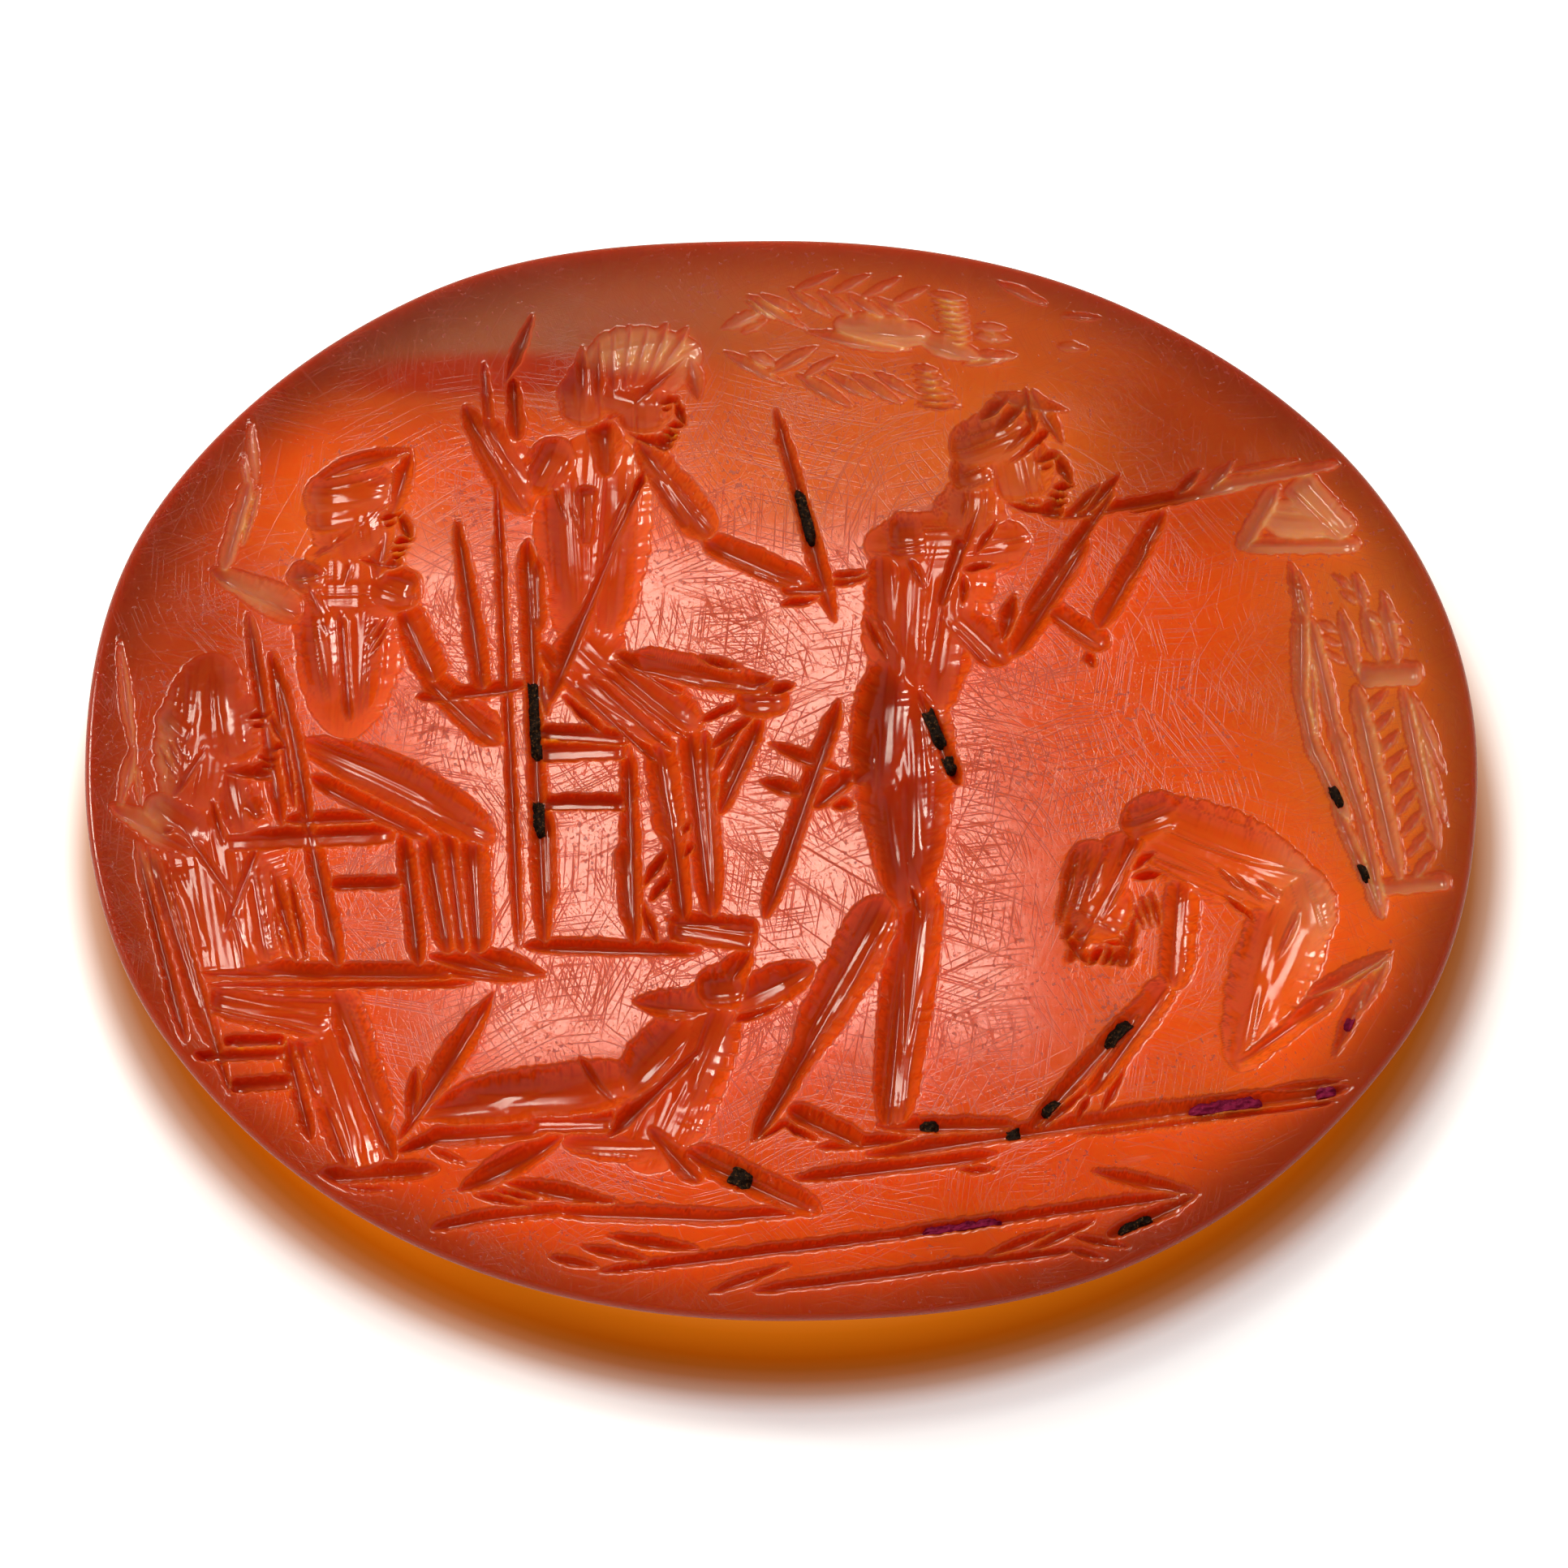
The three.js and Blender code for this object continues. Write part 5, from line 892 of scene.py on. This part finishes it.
def carved_stone(material):
    """The stone with its carved face, rounded rim, tapering side and flat back."""
    raster = carve_relief()
    unit_x, unit_y = disc_corners(FACE_CORNERS)
    face_share = 1 - FACE_INSET / (STONE_WIDTH / 2)
    x, y = outline_point(unit_x * face_share, unit_y * face_share)
    depth = relief_at(raster, x, y)
    points = [np.stack([x, y, dome_height(x, y) - depth], 1)]
    grid = np.arange(FACE_CORNERS * FACE_CORNERS).reshape(FACE_CORNERS, FACE_CORNERS)
    faces = np.stack([grid[:-1, :-1], grid[:-1, 1:], grid[1:, 1:], grid[1:, :-1]], -1)
    faces = faces.reshape(-1, 4).tolist()
    loop = edge_loop(grid)
    rim_x, rim_y = unit_x[loop], unit_y[loop]
    # Rings from the face's edge to the back: how far each one is drawn in, and its height
    section = [(FACE_INSET * (1 - math.cos(turn)), GIRDLE_HEIGHT + RIM_ROUNDING * math.sin(turn))
               for turn in np.linspace(math.pi / 2, 0, RIM_STEPS)[1:]]
    for step in range(1, SIDE_STEPS + 1):
        share = step / SIDE_STEPS
        section.append((BACK_INSET * share, GIRDLE_HEIGHT + (BACK_BEVEL - GIRDLE_HEIGHT) * share))
    section += [(BACK_INSET + BACK_BEVEL * BEVEL_SHARE, BACK_BEVEL * BEVEL_SHARE),
                (BACK_INSET + BACK_BEVEL, 0)]
    count = grid.size
    for inset, height in section:
        share = 1 - inset / (STONE_WIDTH / 2)
        ring_x, ring_y = outline_point(rim_x * share, rim_y * share)
        points.append(np.stack([ring_x, ring_y, np.full(len(ring_x), height)], 1))
        ring = np.arange(count, count + len(ring_x))
        faces += quads_between(ring, loop).tolist()
        loop, count = ring, count + len(ring_x)
    points.append(np.array([[0, 0, 0]]))
    faces += [[int(b), int(a), count] for a, b in zip(loop, np.roll(loop, -1))]
    points = np.concatenate(points)
    piece = new_piece("engraved_carnelian", points, faces, material)
    # Values at each corner that the material reads
    turn = relief_at(edge_sharpness(raster), x, y)
    for name, values in (("cut_depth", depth / DEEPEST_CUT), ("cut_crest", np.clip(turn, 0, 1)),
                         ("cut_bottom", np.clip(-turn, 0, 1))):
        attribute = piece.data.attributes.new(name, "FLOAT", "POINT")
        values = np.concatenate([values, np.zeros(len(points) - len(depth))])
        attribute.data.foreach_set("value", values.astype(np.float32))
    lay_out_map(piece, points, grid)
    return piece, raster


def lay_out_map(piece, points, grid):
    """A flat map of the stone: its face above, its side in a strip and its back in a disc."""
    face_scale, *face_middle = FACE_MAP
    strip_start, strip_length, strip_top, ring_pitch = STRIP_MAP
    back_scale, *back_middle = BACK_MAP
    loop = edge_loop(grid)
    face_count, ring_count = grid.size, len(loop)
    corners = np.zeros(len(piece.data.loops), int)
    piece.data.loops.foreach_get("vertex_index", corners)
    sizes = np.zeros(len(piece.data.polygons), int)
    piece.data.polygons.foreach_get("loop_total", sizes)
    spots = points[:, :2] / STONE_LENGTH
    flat = spots * face_scale + face_middle
    ring = np.maximum(np.arange(len(points)) - face_count, 0)
    column, row = ring[face_count:] % ring_count, ring[face_count:] // ring_count
    flat[face_count:, 0] = column / ring_count * strip_length + strip_start
    flat[face_count:, 1] = strip_top - row * ring_pitch
    per_corner = flat[corners]
    polygon = np.repeat(np.arange(len(sizes)), sizes)
    first = np.concatenate([[0], np.cumsum(sizes)[:-1]])
    high = np.maximum.reduceat(corners, first)[polygon]
    # The strip's first ring lies on the face's edge, and its last column closes the loop
    strip = (high >= face_count) & (high < len(points) - 1)
    place = np.full(len(points), -1)
    place[loop] = np.arange(ring_count)
    on_face = strip & (corners < face_count)
    per_corner[on_face, 0] = place[corners[on_face]] / ring_count * strip_length + strip_start
    per_corner[on_face, 1] = strip_top + ring_pitch
    turn = np.where(corners >= face_count, ring[corners] % ring_count, place[corners])
    widest = np.maximum.reduceat(turn, first)[polygon]
    per_corner[strip & (turn == 0) & (widest == ring_count - 1), 0] = strip_start + strip_length
    back = high == len(points) - 1
    per_corner[back] = spots[corners[back]] * back_scale + back_middle
    layer = piece.data.uv_layers.new(name="OFBake")
    layer.data.foreach_set("uv", per_corner.astype(np.float32).ravel())


def residue_crumb(name, raster, row, first, last, material, seed):
    """A lumpy crumb that lies in the bottom of a stretch of a cut and thins out at its ends."""
    cut = read_row(row, "line")
    start, end = np.array(cut["start"]), np.array(cut["end"])
    way = end - start
    length = float(np.hypot(*way))
    stretch = (last - first) * length
    along = np.linspace(0, 1, max(int(stretch / CRUMB_STEP), 12))
    across = np.linspace(-1, 1, CRUMB_CORNERS_ACROSS)
    along, across = np.meshgrid(along, across, indexing="ij")
    progress = first + (last - first) * along
    wander = soft_noise(along * stretch / CRUMB_WANDER_LENGTH, np.sign(across) * 9 + 30, seed + 60)
    half = width_at(cut, progress) / 2 * (CRUMB_WIDTH + CRUMB_WANDER * wander)
    side = np.array([-way[1], way[0]]) / length
    x = start[0] + way[0] * progress + side[0] * across * half
    y = start[1] + way[1] * progress + side[1] * across * half
    surface = dome_height(x, y) - relief_at(raster, x, y)
    floor = np.sort(surface, axis=1)[:, 2:3]
    lumps = sum(soft_noise(across * half / wide, progress * length / long, seed + shift) * height
                for wide, long, height, shift in CRUMB_LUMPS)
    # Its level sinks below the cut's floor towards ragged ends, so its edge follows the walls
    ragged = 1 + 0.9 * soft_noise(across * 2.5, along * 0 + 3, seed + 40)
    ragged = min(CRUMB_RAGGED, stretch / 4) * ragged
    taper = np.clip(np.minimum(along, 1 - along) * stretch / ragged, 0, 1) ** 0.5
    level = floor + (cut["depth"] * CRUMB_FILL + lumps + CRUMB_SINK) * taper - CRUMB_SINK
    top = np.maximum(level, surface - CRUMB_SKIN)
    upper = np.stack([x, y, top], -1).reshape(-1, 3)
    lower = np.stack([x, y, np.minimum(surface, top) - CRUMB_SINK], -1).reshape(-1, 3)
    grid = np.arange(across.size).reshape(across.shape)
    quads = np.stack([grid[:-1, :-1], grid[1:, :-1], grid[1:, 1:], grid[:-1, 1:]], -1)
    quads = quads.reshape(-1, 4)
    border = edge_loop(grid.T)
    sides = quads_between(border + grid.size, border)
    faces = quads.tolist() + (quads[:, ::-1] + grid.size).tolist() + sides.tolist()
    points = np.concatenate([upper, lower])
    return new_piece(name.replace("residue", "crumb"), points, faces, material)


def oval_patch(tree, places, middle, radii, softness):
    """A soft oval patch, 1 in its middle, with middle and radii in hundredths of the half-sizes."""
    half = (STONE_LENGTH / 200 * MM, STONE_WIDTH / 200 * MM)
    centre = (middle[0] * half[0], middle[1] * half[1], 0)
    scale = (1 / (radii[0] * half[0]), 1 / (radii[1] * half[1]), 0)
    reach = add_node(tree, "ShaderNodeVectorMath", {0: places, 1: centre},
                     operation="SUBTRACT").outputs[0]
    reach = add_node(tree, "ShaderNodeVectorMath", {0: reach, 1: scale},
                     operation="MULTIPLY").outputs[0]
    reach = add_node(tree, "ShaderNodeVectorMath", {0: reach}, operation="LENGTH").outputs["Value"]
    span = {"Value": reach, "From Min": 1 + softness / 2, "From Max": 1 - softness / 2}
    return add_node(tree, "ShaderNodeMapRange", span,
                    interpolation_type="SMOOTHSTEP").outputs["Result"]


def scratches(tree, places, turn, length, width, share, seed):
    """Scratches near an angle, 1 in a scratch's middle: sizes in mm, and the share that shows."""
    turned = add_node(tree, "ShaderNodeMapping", {
        "Vector": places, "Rotation": (0, 0, math.radians(turn)),
        "Location": [seed * shift for shift in SCRATCH_SHIFT]}).outputs[0]
    # Each scratch is the middle of a cell, drawn out to its length
    reach = SCRATCH_REACH
    scale = (reach / (length / 2 * MM), reach / (width / 2 * MM), 0)
    drawn = add_node(tree, "ShaderNodeVectorMath", {0: turned, 1: scale},
                     operation="MULTIPLY").outputs[0]
    cells = add_node(tree, "ShaderNodeTexVoronoi", {"Vector": drawn, "Scale": 1.0},
                     voronoi_dimensions="2D")
    line = add_node(tree, "ShaderNodeMapRange", {
        "Value": cells.outputs["Distance"], "From Min": reach, "From Max": reach * SCRATCH_CORE})
    chosen = add_node(tree, "ShaderNodeSeparateColor", {0: cells.outputs["Color"]}).outputs[0]
    strength = add_node(tree, "ShaderNodeMapRange", {
        "Value": chosen, "From Min": 1 - share, "From Max": 1 + SCRATCH_ONSET - share})
    return add_node(tree, "ShaderNodeMath", {
        0: line.outputs["Result"], 1: strength.outputs["Result"]}, operation="MULTIPLY").outputs[0]


def largest(tree, values):
    """The largest of several values."""
    most = None
    for value in values:
        if most is not None:
            value = add_node(tree, "ShaderNodeMath", {0: most, 1: value},
                             operation="MAXIMUM").outputs[0]
        most = value
    return most


def carnelian_material():
    """Carnelian: chalcedony stained by iron, cut by wheel and grit, its face polished and worn by
    age. Light sinks in and comes back orange-red, and the worn polish gives a pink sheen crossed by
    scratches."""
    material, tree = new_material("carnelian_polished_and_worn")
    colours = bpy.context.scene.gem_colours
    sizes = bpy.context.scene.gem_sizes
    places = add_node(tree, "ShaderNodeTexCoord").outputs["Object"]
    values = {name: add_node(tree, "ShaderNodeAttribute",
                             attribute_name="cut_" + name).outputs["Fac"]
              for name in ("depth", "crest", "bottom")}
    for name, (size, detail, roughness) in STONE_NOISE.items():
        values[name] = add_node(tree, "ShaderNodeTexNoise", {
            "Vector": places, "Scale": 1 / (size * MM), "Detail": detail,
            "Roughness": roughness}).outputs["Fac"]
    values["inner"] = oval_patch(tree, places, *INNER_STONE)
    for name, (source, (low, high), (start, end)) in STONE_MASKS.items():
        values[name] = add_node(tree, "ShaderNodeMapRange", {
            "Value": values[source], "From Min": low, "From Max": high,
            "To Min": start, "To Max": end}).outputs["Result"]
    worn = oval_patch(tree, places, *WORN_PLACE)
    uncut = values["uncut"]

    # Deep cuts in the middle let less light out and look more saturated, most of all at the hips
    thick = oval_patch(tree, places, *THICK_STONE)
    deep = add_node(tree, "ShaderNodeMath", {0: values["deep"], 1: thick},
                    operation="MULTIPLY").outputs[0]
    hips = oval_patch(tree, places, *DEEPEST_PLACE)
    hips = add_node(tree, "ShaderNodeMath", {0: hips, 1: values["sunk"]},
                    operation="MULTIPLY").outputs[0]
    # Shallow cuts near the rim are frosted by the grit
    frost = largest(tree, [oval_patch(tree, places, middle, radii, FROST_SOFTNESS)
                           for middle, radii in FROSTED_PLACES])
    frost = add_node(tree, "ShaderNodeMath", {0: frost, 1: values["shallow"]},
                     operation="MULTIPLY").outputs[0]

    # Hairline scratches at several angles, most of them where the face is most worn
    bend = add_node(tree, "ShaderNodeTexNoise", {
        "Vector": places, "Scale": 1 / (SWERVE_LENGTH * MM), "Detail": 1.0}).outputs["Color"]
    swerve = add_node(tree, "ShaderNodeVectorMath", {
        0: bend, 1: (SWERVE * MM, SWERVE * MM, 0), 2: places}, operation="MULTIPLY_ADD").outputs[0]
    scratch = largest(tree, [scratches(tree, swerve, *scratch_set, seed)
                             for seed, scratch_set in enumerate(SCRATCH_SETS)])
    wear = add_node(tree, "ShaderNodeMath", {0: worn, 1: 0.7, 2: 0.3},
                    operation="MULTIPLY_ADD").outputs[0]
    wear = add_node(tree, "ShaderNodeMath", {0: wear, 1: uncut}, operation="MULTIPLY").outputs[0]
    scratch = add_node(tree, "ShaderNodeMath", {0: scratch, 1: wear},
                       operation="MULTIPLY").outputs[0]
    # Small ragged pits in clusters, and a fine speckle between them
    pits = add_node(tree, "ShaderNodeMath", {0: worn, 1: 0.07, 2: values["crowd"]},
                    operation="MULTIPLY_ADD").outputs[0]
    pits = add_node(tree, "ShaderNodeMath", {0: pits, 1: 0.42, 2: values["grains"]},
                    operation="MULTIPLY_ADD").outputs[0]
    pits = add_node(tree, "ShaderNodeMapRange", {
        "Value": pits, "From Min": 0.865, "From Max": 0.905}).outputs["Result"]
    specks = add_node(tree, "ShaderNodeMath", {0: values["specks"], 1: worn},
                      operation="MULTIPLY").outputs[0]
    pits = add_node(tree, "ShaderNodeMath", {0: pits, 1: specks}, operation="MAXIMUM").outputs[0]
    pits = add_node(tree, "ShaderNodeMath", {0: pits, 1: uncut}, operation="MULTIPLY").outputs[0]
    # Scratches and pits are painted a little darker: painted shade for the sheen that they lose
    mark_shade = add_node(tree, "ShaderNodeMath", {0: scratch, 1: pits}, operation="MAXIMUM").outputs[0]
    mark_shade = add_node(tree, "ShaderNodeMath", {0: mark_shade, 1: 0.7}, operation="MULTIPLY").outputs[0]

    # Colour, one layer over the other: patches of stain and of painted light and shade, clouds of
    # stain, painted shade towards the rim, deep cuts, painted shade in the bottoms of grooves and
    # on the crests between them, frost, and painted shade in scratches and pits
    layers = []
    for hex_colour, middle, radii, softness, strength in STAIN_AND_PAINTED_LIGHT_PATCHES:
        patch = oval_patch(tree, places, middle, radii, softness)
        patch = add_node(tree, "ShaderNodeMath", {0: patch, 1: strength},
                         operation="MULTIPLY").outputs[0]
        layers.append((patch, linear(hex_colour)))
    layers += [
        (values["cloudy"], linear("C24206")), (values["rim"], tuple(colours.stone_rim_shade)),
        (deep, linear("BE3A02")), (hips, linear("A02202")), (values["foot"], linear("AE3002")),
        (values["edge"], linear("B03404")), (frost, linear("DE966A")), (mark_shade, linear("962A08")),
    ]
    colour = tuple(colours.stone_body)
    for share, tint in layers:
        colour = add_node(tree, "ShaderNodeMix", {0: share, 6: colour, 7: tint},
                          data_type="RGBA").outputs[2]

    # Roughness: a soft polish, duller on scratches, in pits and in the cuts
    dulled = add_node(tree, "ShaderNodeMapRange", {
        "Value": values["patchy"], "From Min": 0.3, "From Max": 0.7,
        "To Min": sizes.polish - 0.03, "To Max": sizes.polish + 0.05}).outputs["Result"]
    for mark, weight in ((pits, 0.25), (scratch, 0.5)):
        dulled = add_node(tree, "ShaderNodeMath", {0: mark, 1: weight, 2: dulled},
                          operation="MULTIPLY_ADD").outputs[0]
    cut = add_node(tree, "ShaderNodeMath", {0: 1.0, 1: uncut}, operation="SUBTRACT").outputs[0]
    dulled = add_node(tree, "ShaderNodeMath", {0: cut, 1: values["matt"], 2: dulled},
                      operation="MULTIPLY_ADD", use_clamp=True).outputs[0]

    # Relief finer than the mesh: scratches and pits, and the grit's marks in the cuts
    fine = add_node(tree, "ShaderNodeMath", {0: scratch, 1: 0.6, 2: pits},
                    operation="MULTIPLY_ADD").outputs[0]
    fine = add_node(tree, "ShaderNodeMath", {0: values["grit"], 1: 0.25, 2: fine},
                    operation="MULTIPLY_ADD").outputs[0]
    bump = add_node(tree, "ShaderNodeBump", {
        "Height": fine, "Strength": 1.0, "Distance": 0.002 * MM}, invert=True)

    shader = add_node(tree, "ShaderNodeBsdfPrincipled", {
        "Base Color": colour, "Roughness": dulled, "Normal": bump.outputs["Normal"], "IOR": 1.4,
        "Subsurface Weight": 0.9, "Subsurface Scale": sizes.light_reach,
        "Subsurface Radius": (1.0, 0.4, 0.12), "Subsurface Anisotropy": 0.3,
    })
    add_node(tree, "ShaderNodeOutputMaterial", {"Surface": shader.outputs[0]})
    return material


def residue_material(name, body, spot, roughness):
    """Old residue: dull, crumbly matter with brighter grains about 0.04 mm across."""
    material, tree = new_material(name)
    places = add_node(tree, "ShaderNodeTexCoord").outputs["Object"]
    grains = add_node(tree, "ShaderNodeTexNoise", {
        "Vector": places, "Scale": 1 / (0.04 * MM), "Detail": 3.0, "Roughness": 0.7}).outputs["Fac"]
    share = add_node(tree, "ShaderNodeMapRange", {
        "Value": grains, "From Min": 0.56, "From Max": 0.7})
    colour = add_node(tree, "ShaderNodeMix", {0: share.outputs["Result"], 6: body, 7: spot},
                      data_type="RGBA").outputs[2]
    bump = add_node(tree, "ShaderNodeBump", {
        "Height": grains, "Strength": 1.0, "Distance": 0.02 * MM})
    shader = add_node(tree, "ShaderNodeBsdfPrincipled", {
        "Base Color": colour, "Roughness": roughness, "Normal": bump.outputs["Normal"], "IOR": 1.2})
    add_node(tree, "ShaderNodeOutputMaterial", {"Surface": shader.outputs[0]})
    return material


def floor_material():
    """White paper floor, with painted amber light that the stone lets through and a painted shadow
    at its soft edge.
    """
    material, tree = new_material("white_paper_floor")
    places = add_node(tree, "ShaderNodeTexCoord").outputs["Object"]
    scale = (2 / (STONE_LENGTH * MM), 2 / (STONE_WIDTH * MM), 0)
    reach = add_node(tree, "ShaderNodeVectorMath", {0: places, 1: scale, 2: (-FLOOR_SHIFT, 0, 0)},
                     operation="MULTIPLY_ADD").outputs[0]
    reach = add_node(tree, "ShaderNodeVectorMath", {0: reach}, operation="LENGTH").outputs["Value"]
    low, high = FLOOR_SPAN
    span = add_node(tree, "ShaderNodeMapRange", {"Value": reach, "From Min": low, "From Max": high})
    ramp = add_node(tree, "ShaderNodeValToRGB", {0: span.outputs["Result"]})
    stops = ramp.color_ramp.elements
    while len(stops) < len(FLOOR_LIGHT):
        stops.new(0.5)
    for stop, (share, hex_colour) in zip(stops, FLOOR_LIGHT):
        stop.position = (share - low) / (high - low)
        stop.color = linear(hex_colour)
    paper = add_node(tree, "ShaderNodeBsdfDiffuse", {"Color": ramp.outputs["Color"]})
    # The camera sees the lit paper as clean white
    glow = add_node(tree, "ShaderNodeEmission", {
        "Color": ramp.outputs["Color"], "Strength": FLOOR_GLOW})
    dark = add_node(tree, "ShaderNodeEmission", {"Color": (0, 0, 0, 1), "Strength": 0.0})
    camera_ray = add_node(tree, "ShaderNodeLightPath").outputs["Is Camera Ray"]
    lift = add_node(tree, "ShaderNodeMixShader", {
        0: camera_ray, 1: dark.outputs[0], 2: glow.outputs[0]})
    surface = add_node(tree, "ShaderNodeAddShader", {0: paper.outputs[0], 1: lift.outputs[0]})
    add_node(tree, "ShaderNodeOutputMaterial", {"Surface": surface.outputs[0]})
    return material


class GemSizes(bpy.types.PropertyGroup):
    """How far light reaches into the stone, and how well its face is polished."""
    light_reach: bpy.props.FloatProperty(
        name="Light reach", description="How far red light travels in the stone", default=1.2 * MM,
        min=0, unit="LENGTH", precision=6)
    polish: bpy.props.FloatProperty(
        name="Polish", description="Roughness of the worn polish", default=0.085, min=0, max=1,
        subtype="FACTOR")


class GemColours(bpy.types.PropertyGroup):
    """Colours of the stone, of the painted shade at its rim, and of the residue."""
    stone_body: bpy.props.FloatVectorProperty(
        name="Stone", description="Body colour of the carnelian", default=linear("E2560A"), size=4,
        subtype="COLOR", min=0, max=1)
    # Painted shade: the stone is painted darker towards its rim
    stone_rim_shade: bpy.props.FloatVectorProperty(
        name="Rim", description="Colour of the stone near its rim", default=linear("742810"),
        size=4, subtype="COLOR", min=0, max=1)
    black_residue: bpy.props.FloatVectorProperty(
        name="Black residue", description="Old dirt in the cuts", default=linear("1A0F08"), size=4,
        subtype="COLOR", min=0, max=1)
    purple_residue: bpy.props.FloatVectorProperty(
        name="Purple residue", description="Sealing wax in the cuts", default=linear("7A1038"),
        size=4, subtype="COLOR", min=0, max=1)


class GEM_OT_engraved_stone(bpy.types.Operator):
    """Builds the engraved carnelian"""
    bl_idname = "gem.engraved_stone"
    bl_label = "Engraved stone"

    def execute(self, context):
        piece, raster = carved_stone(carnelian_material())
        RASTERS["face"] = raster
        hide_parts("gemstone")
        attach(piece, "root")
        return {"FINISHED"}


class GEM_OT_residue(bpy.types.Operator):
    """Builds the crumbs of residue in the cuts"""
    bl_idname = "gem.residue"
    bl_label = "Residue"

    def execute(self, context):
        colours = context.scene.gem_colours
        black = residue_material(
            "old_dirt_dull", tuple(colours.black_residue), linear("6E4622"), 0.75)
        purple = residue_material(
            "sealing_wax_remains", tuple(colours.purple_residue), linear("9A2450"), 0.6)
        for crumbs, material, slot in ((BLACK_RESIDUE, black, "black_residue"),
                                       (PURPLE_RESIDUE, purple, "purple_residue")):
            for seed, (node, row, first, last) in enumerate(crumbs):
                piece = residue_crumb(node, RASTERS["face"], row, first, last, material, seed + 300)
                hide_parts(node)
                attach(piece, "root")
        return {"FINISHED"}


class GEM_OT_stage(bpy.types.Operator):
    """Sets the floor, the lights and the camera"""
    bl_idname = "gem.stage"
    bl_label = "Stage"

    def execute(self, context):
        scene = context.scene
        corners = np.array([(-1, -1, 0), (1, -1, 0), (1, 1, 0), (-1, 1, 0)]) * FLOOR_REACH
        floor = new_piece("floor", corners - [0, 0, FLOOR_DROP], [[0, 1, 2, 3]], floor_material())

        # One softbox behind the stone, where the face mirrors it to the camera, and one at its left
        tilt = math.radians(CAMERA_ELEVATION)
        target = Vector((0, 0, FACE_EDGE_HEIGHT)) * MM
        mirrored = (SOFTBOX_OFFSET[0], math.cos(tilt) + SOFTBOX_OFFSET[1], math.sin(tilt))
        for name, aim, (width, height), radiance in (
                ("softbox", Vector(mirrored), SOFTBOX_SIZE, SOFTBOX_RADIANCE),
                ("side_box", Vector(SIDE_BOX_AIM), SIDE_BOX_SIZE, SIDE_BOX_RADIANCE)):
            lamp = bpy.data.lights.new(name, "AREA")
            lamp.shape = "RECTANGLE"
            lamp.size = width * MM
            lamp.size_y = height * MM
            lamp.color = LAMP_COLOUR
            lamp.energy = radiance * math.pi * lamp.size * lamp.size_y
            box = bpy.data.objects.new(name, lamp)
            box.location = target + aim.normalized() * LAMP_DISTANCE * MM
            box.rotation_euler = aim.to_track_quat("Z", "Y").to_euler()
            scene.collection.objects.link(box)

        # A light tent: bright walls, and little from overhead, where the face would mirror it
        world = bpy.data.worlds.new("studio")
        scene.world = world
        world.use_nodes = True
        tree = world.node_tree
        tree.nodes.clear()
        way = add_node(tree, "ShaderNodeTexCoord").outputs["Generated"]
        height = add_node(tree, "ShaderNodeSeparateXYZ", {0: way}).outputs["Z"]
        tent = add_node(tree, "ShaderNodeMapRange", {
            "Value": height, "From Min": TENT_SHARES[0], "From Max": TENT_SHARES[1],
            "To Min": TENT_WALL, "To Max": TENT_ROOF}).outputs["Result"]
        sky = add_node(tree, "ShaderNodeBackground", {"Color": (1, 1, 1, 1), "Strength": tent})
        seen = add_node(tree, "ShaderNodeBackground", {"Color": (1, 1, 1, 1), "Strength": 1.0})
        camera_ray = add_node(tree, "ShaderNodeLightPath").outputs["Is Camera Ray"]
        both = add_node(tree, "ShaderNodeMixShader", {
            0: camera_ray, 1: sky.outputs[0], 2: seen.outputs[0]})
        add_node(tree, "ShaderNodeOutputWorld", {"Surface": both.outputs[0]})

        lens = bpy.data.cameras.new("camera")
        lens.lens = CAMERA_LENS
        lens.sensor_width = SENSOR_WIDTH
        lens.shift_x = STONE_PIXELS_LEFT / IMAGE_PIXELS
        lens.shift_y = -STONE_PIXELS_UP / IMAGE_PIXELS
        lens.clip_start, lens.clip_end = CAMERA_REACH
        camera = bpy.data.objects.new("camera", lens)
        sight = Vector((0, -math.cos(tilt), math.sin(tilt)))
        camera.location = target + sight * (VIEW_WIDTH * CAMERA_LENS / SENSOR_WIDTH) * MM
        camera.rotation_euler = sight.to_track_quat("Z", "Y").to_euler()
        scene.collection.objects.link(camera)
        scene.camera = camera
        scene.view_settings.view_transform = "Standard"
        scene.cycles.use_denoising = True
        return {"FINISHED"}


class GEM_PT_panel(bpy.types.Panel):
    """Sizes, colours and pieces of the ringstone"""
    bl_idname = "GEM_PT_panel"
    bl_label = "Engraved ringstone"
    bl_space_type = "VIEW_3D"
    bl_region_type = "UI"
    bl_category = "Gemstone"

    def draw(self, context):
        for group in (context.scene.gem_sizes, context.scene.gem_colours):
            for name in group.__annotations__:
                self.layout.prop(group, name)
        for operator in OPERATORS:
            self.layout.operator(operator.bl_idname)


OPERATORS = (GEM_OT_engraved_stone, GEM_OT_residue, GEM_OT_stage)
CLASSES = (GemSizes, GemColours) + OPERATORS + (GEM_PT_panel,)


def register():
    for cls in CLASSES:
        bpy.utils.register_class(cls)
    bpy.types.Scene.gem_sizes = bpy.props.PointerProperty(type=GemSizes)
    bpy.types.Scene.gem_colours = bpy.props.PointerProperty(type=GemColours)


def unregister():
    del bpy.types.Scene.gem_colours
    del bpy.types.Scene.gem_sizes
    for cls in reversed(CLASSES):
        bpy.utils.unregister_class(cls)


def main():
    """Builds every piece."""
    register()
    bpy.ops.gem.engraved_stone()
    bpy.ops.gem.residue()
    bpy.ops.gem.stage()


if __name__ == "__main__":
    main()
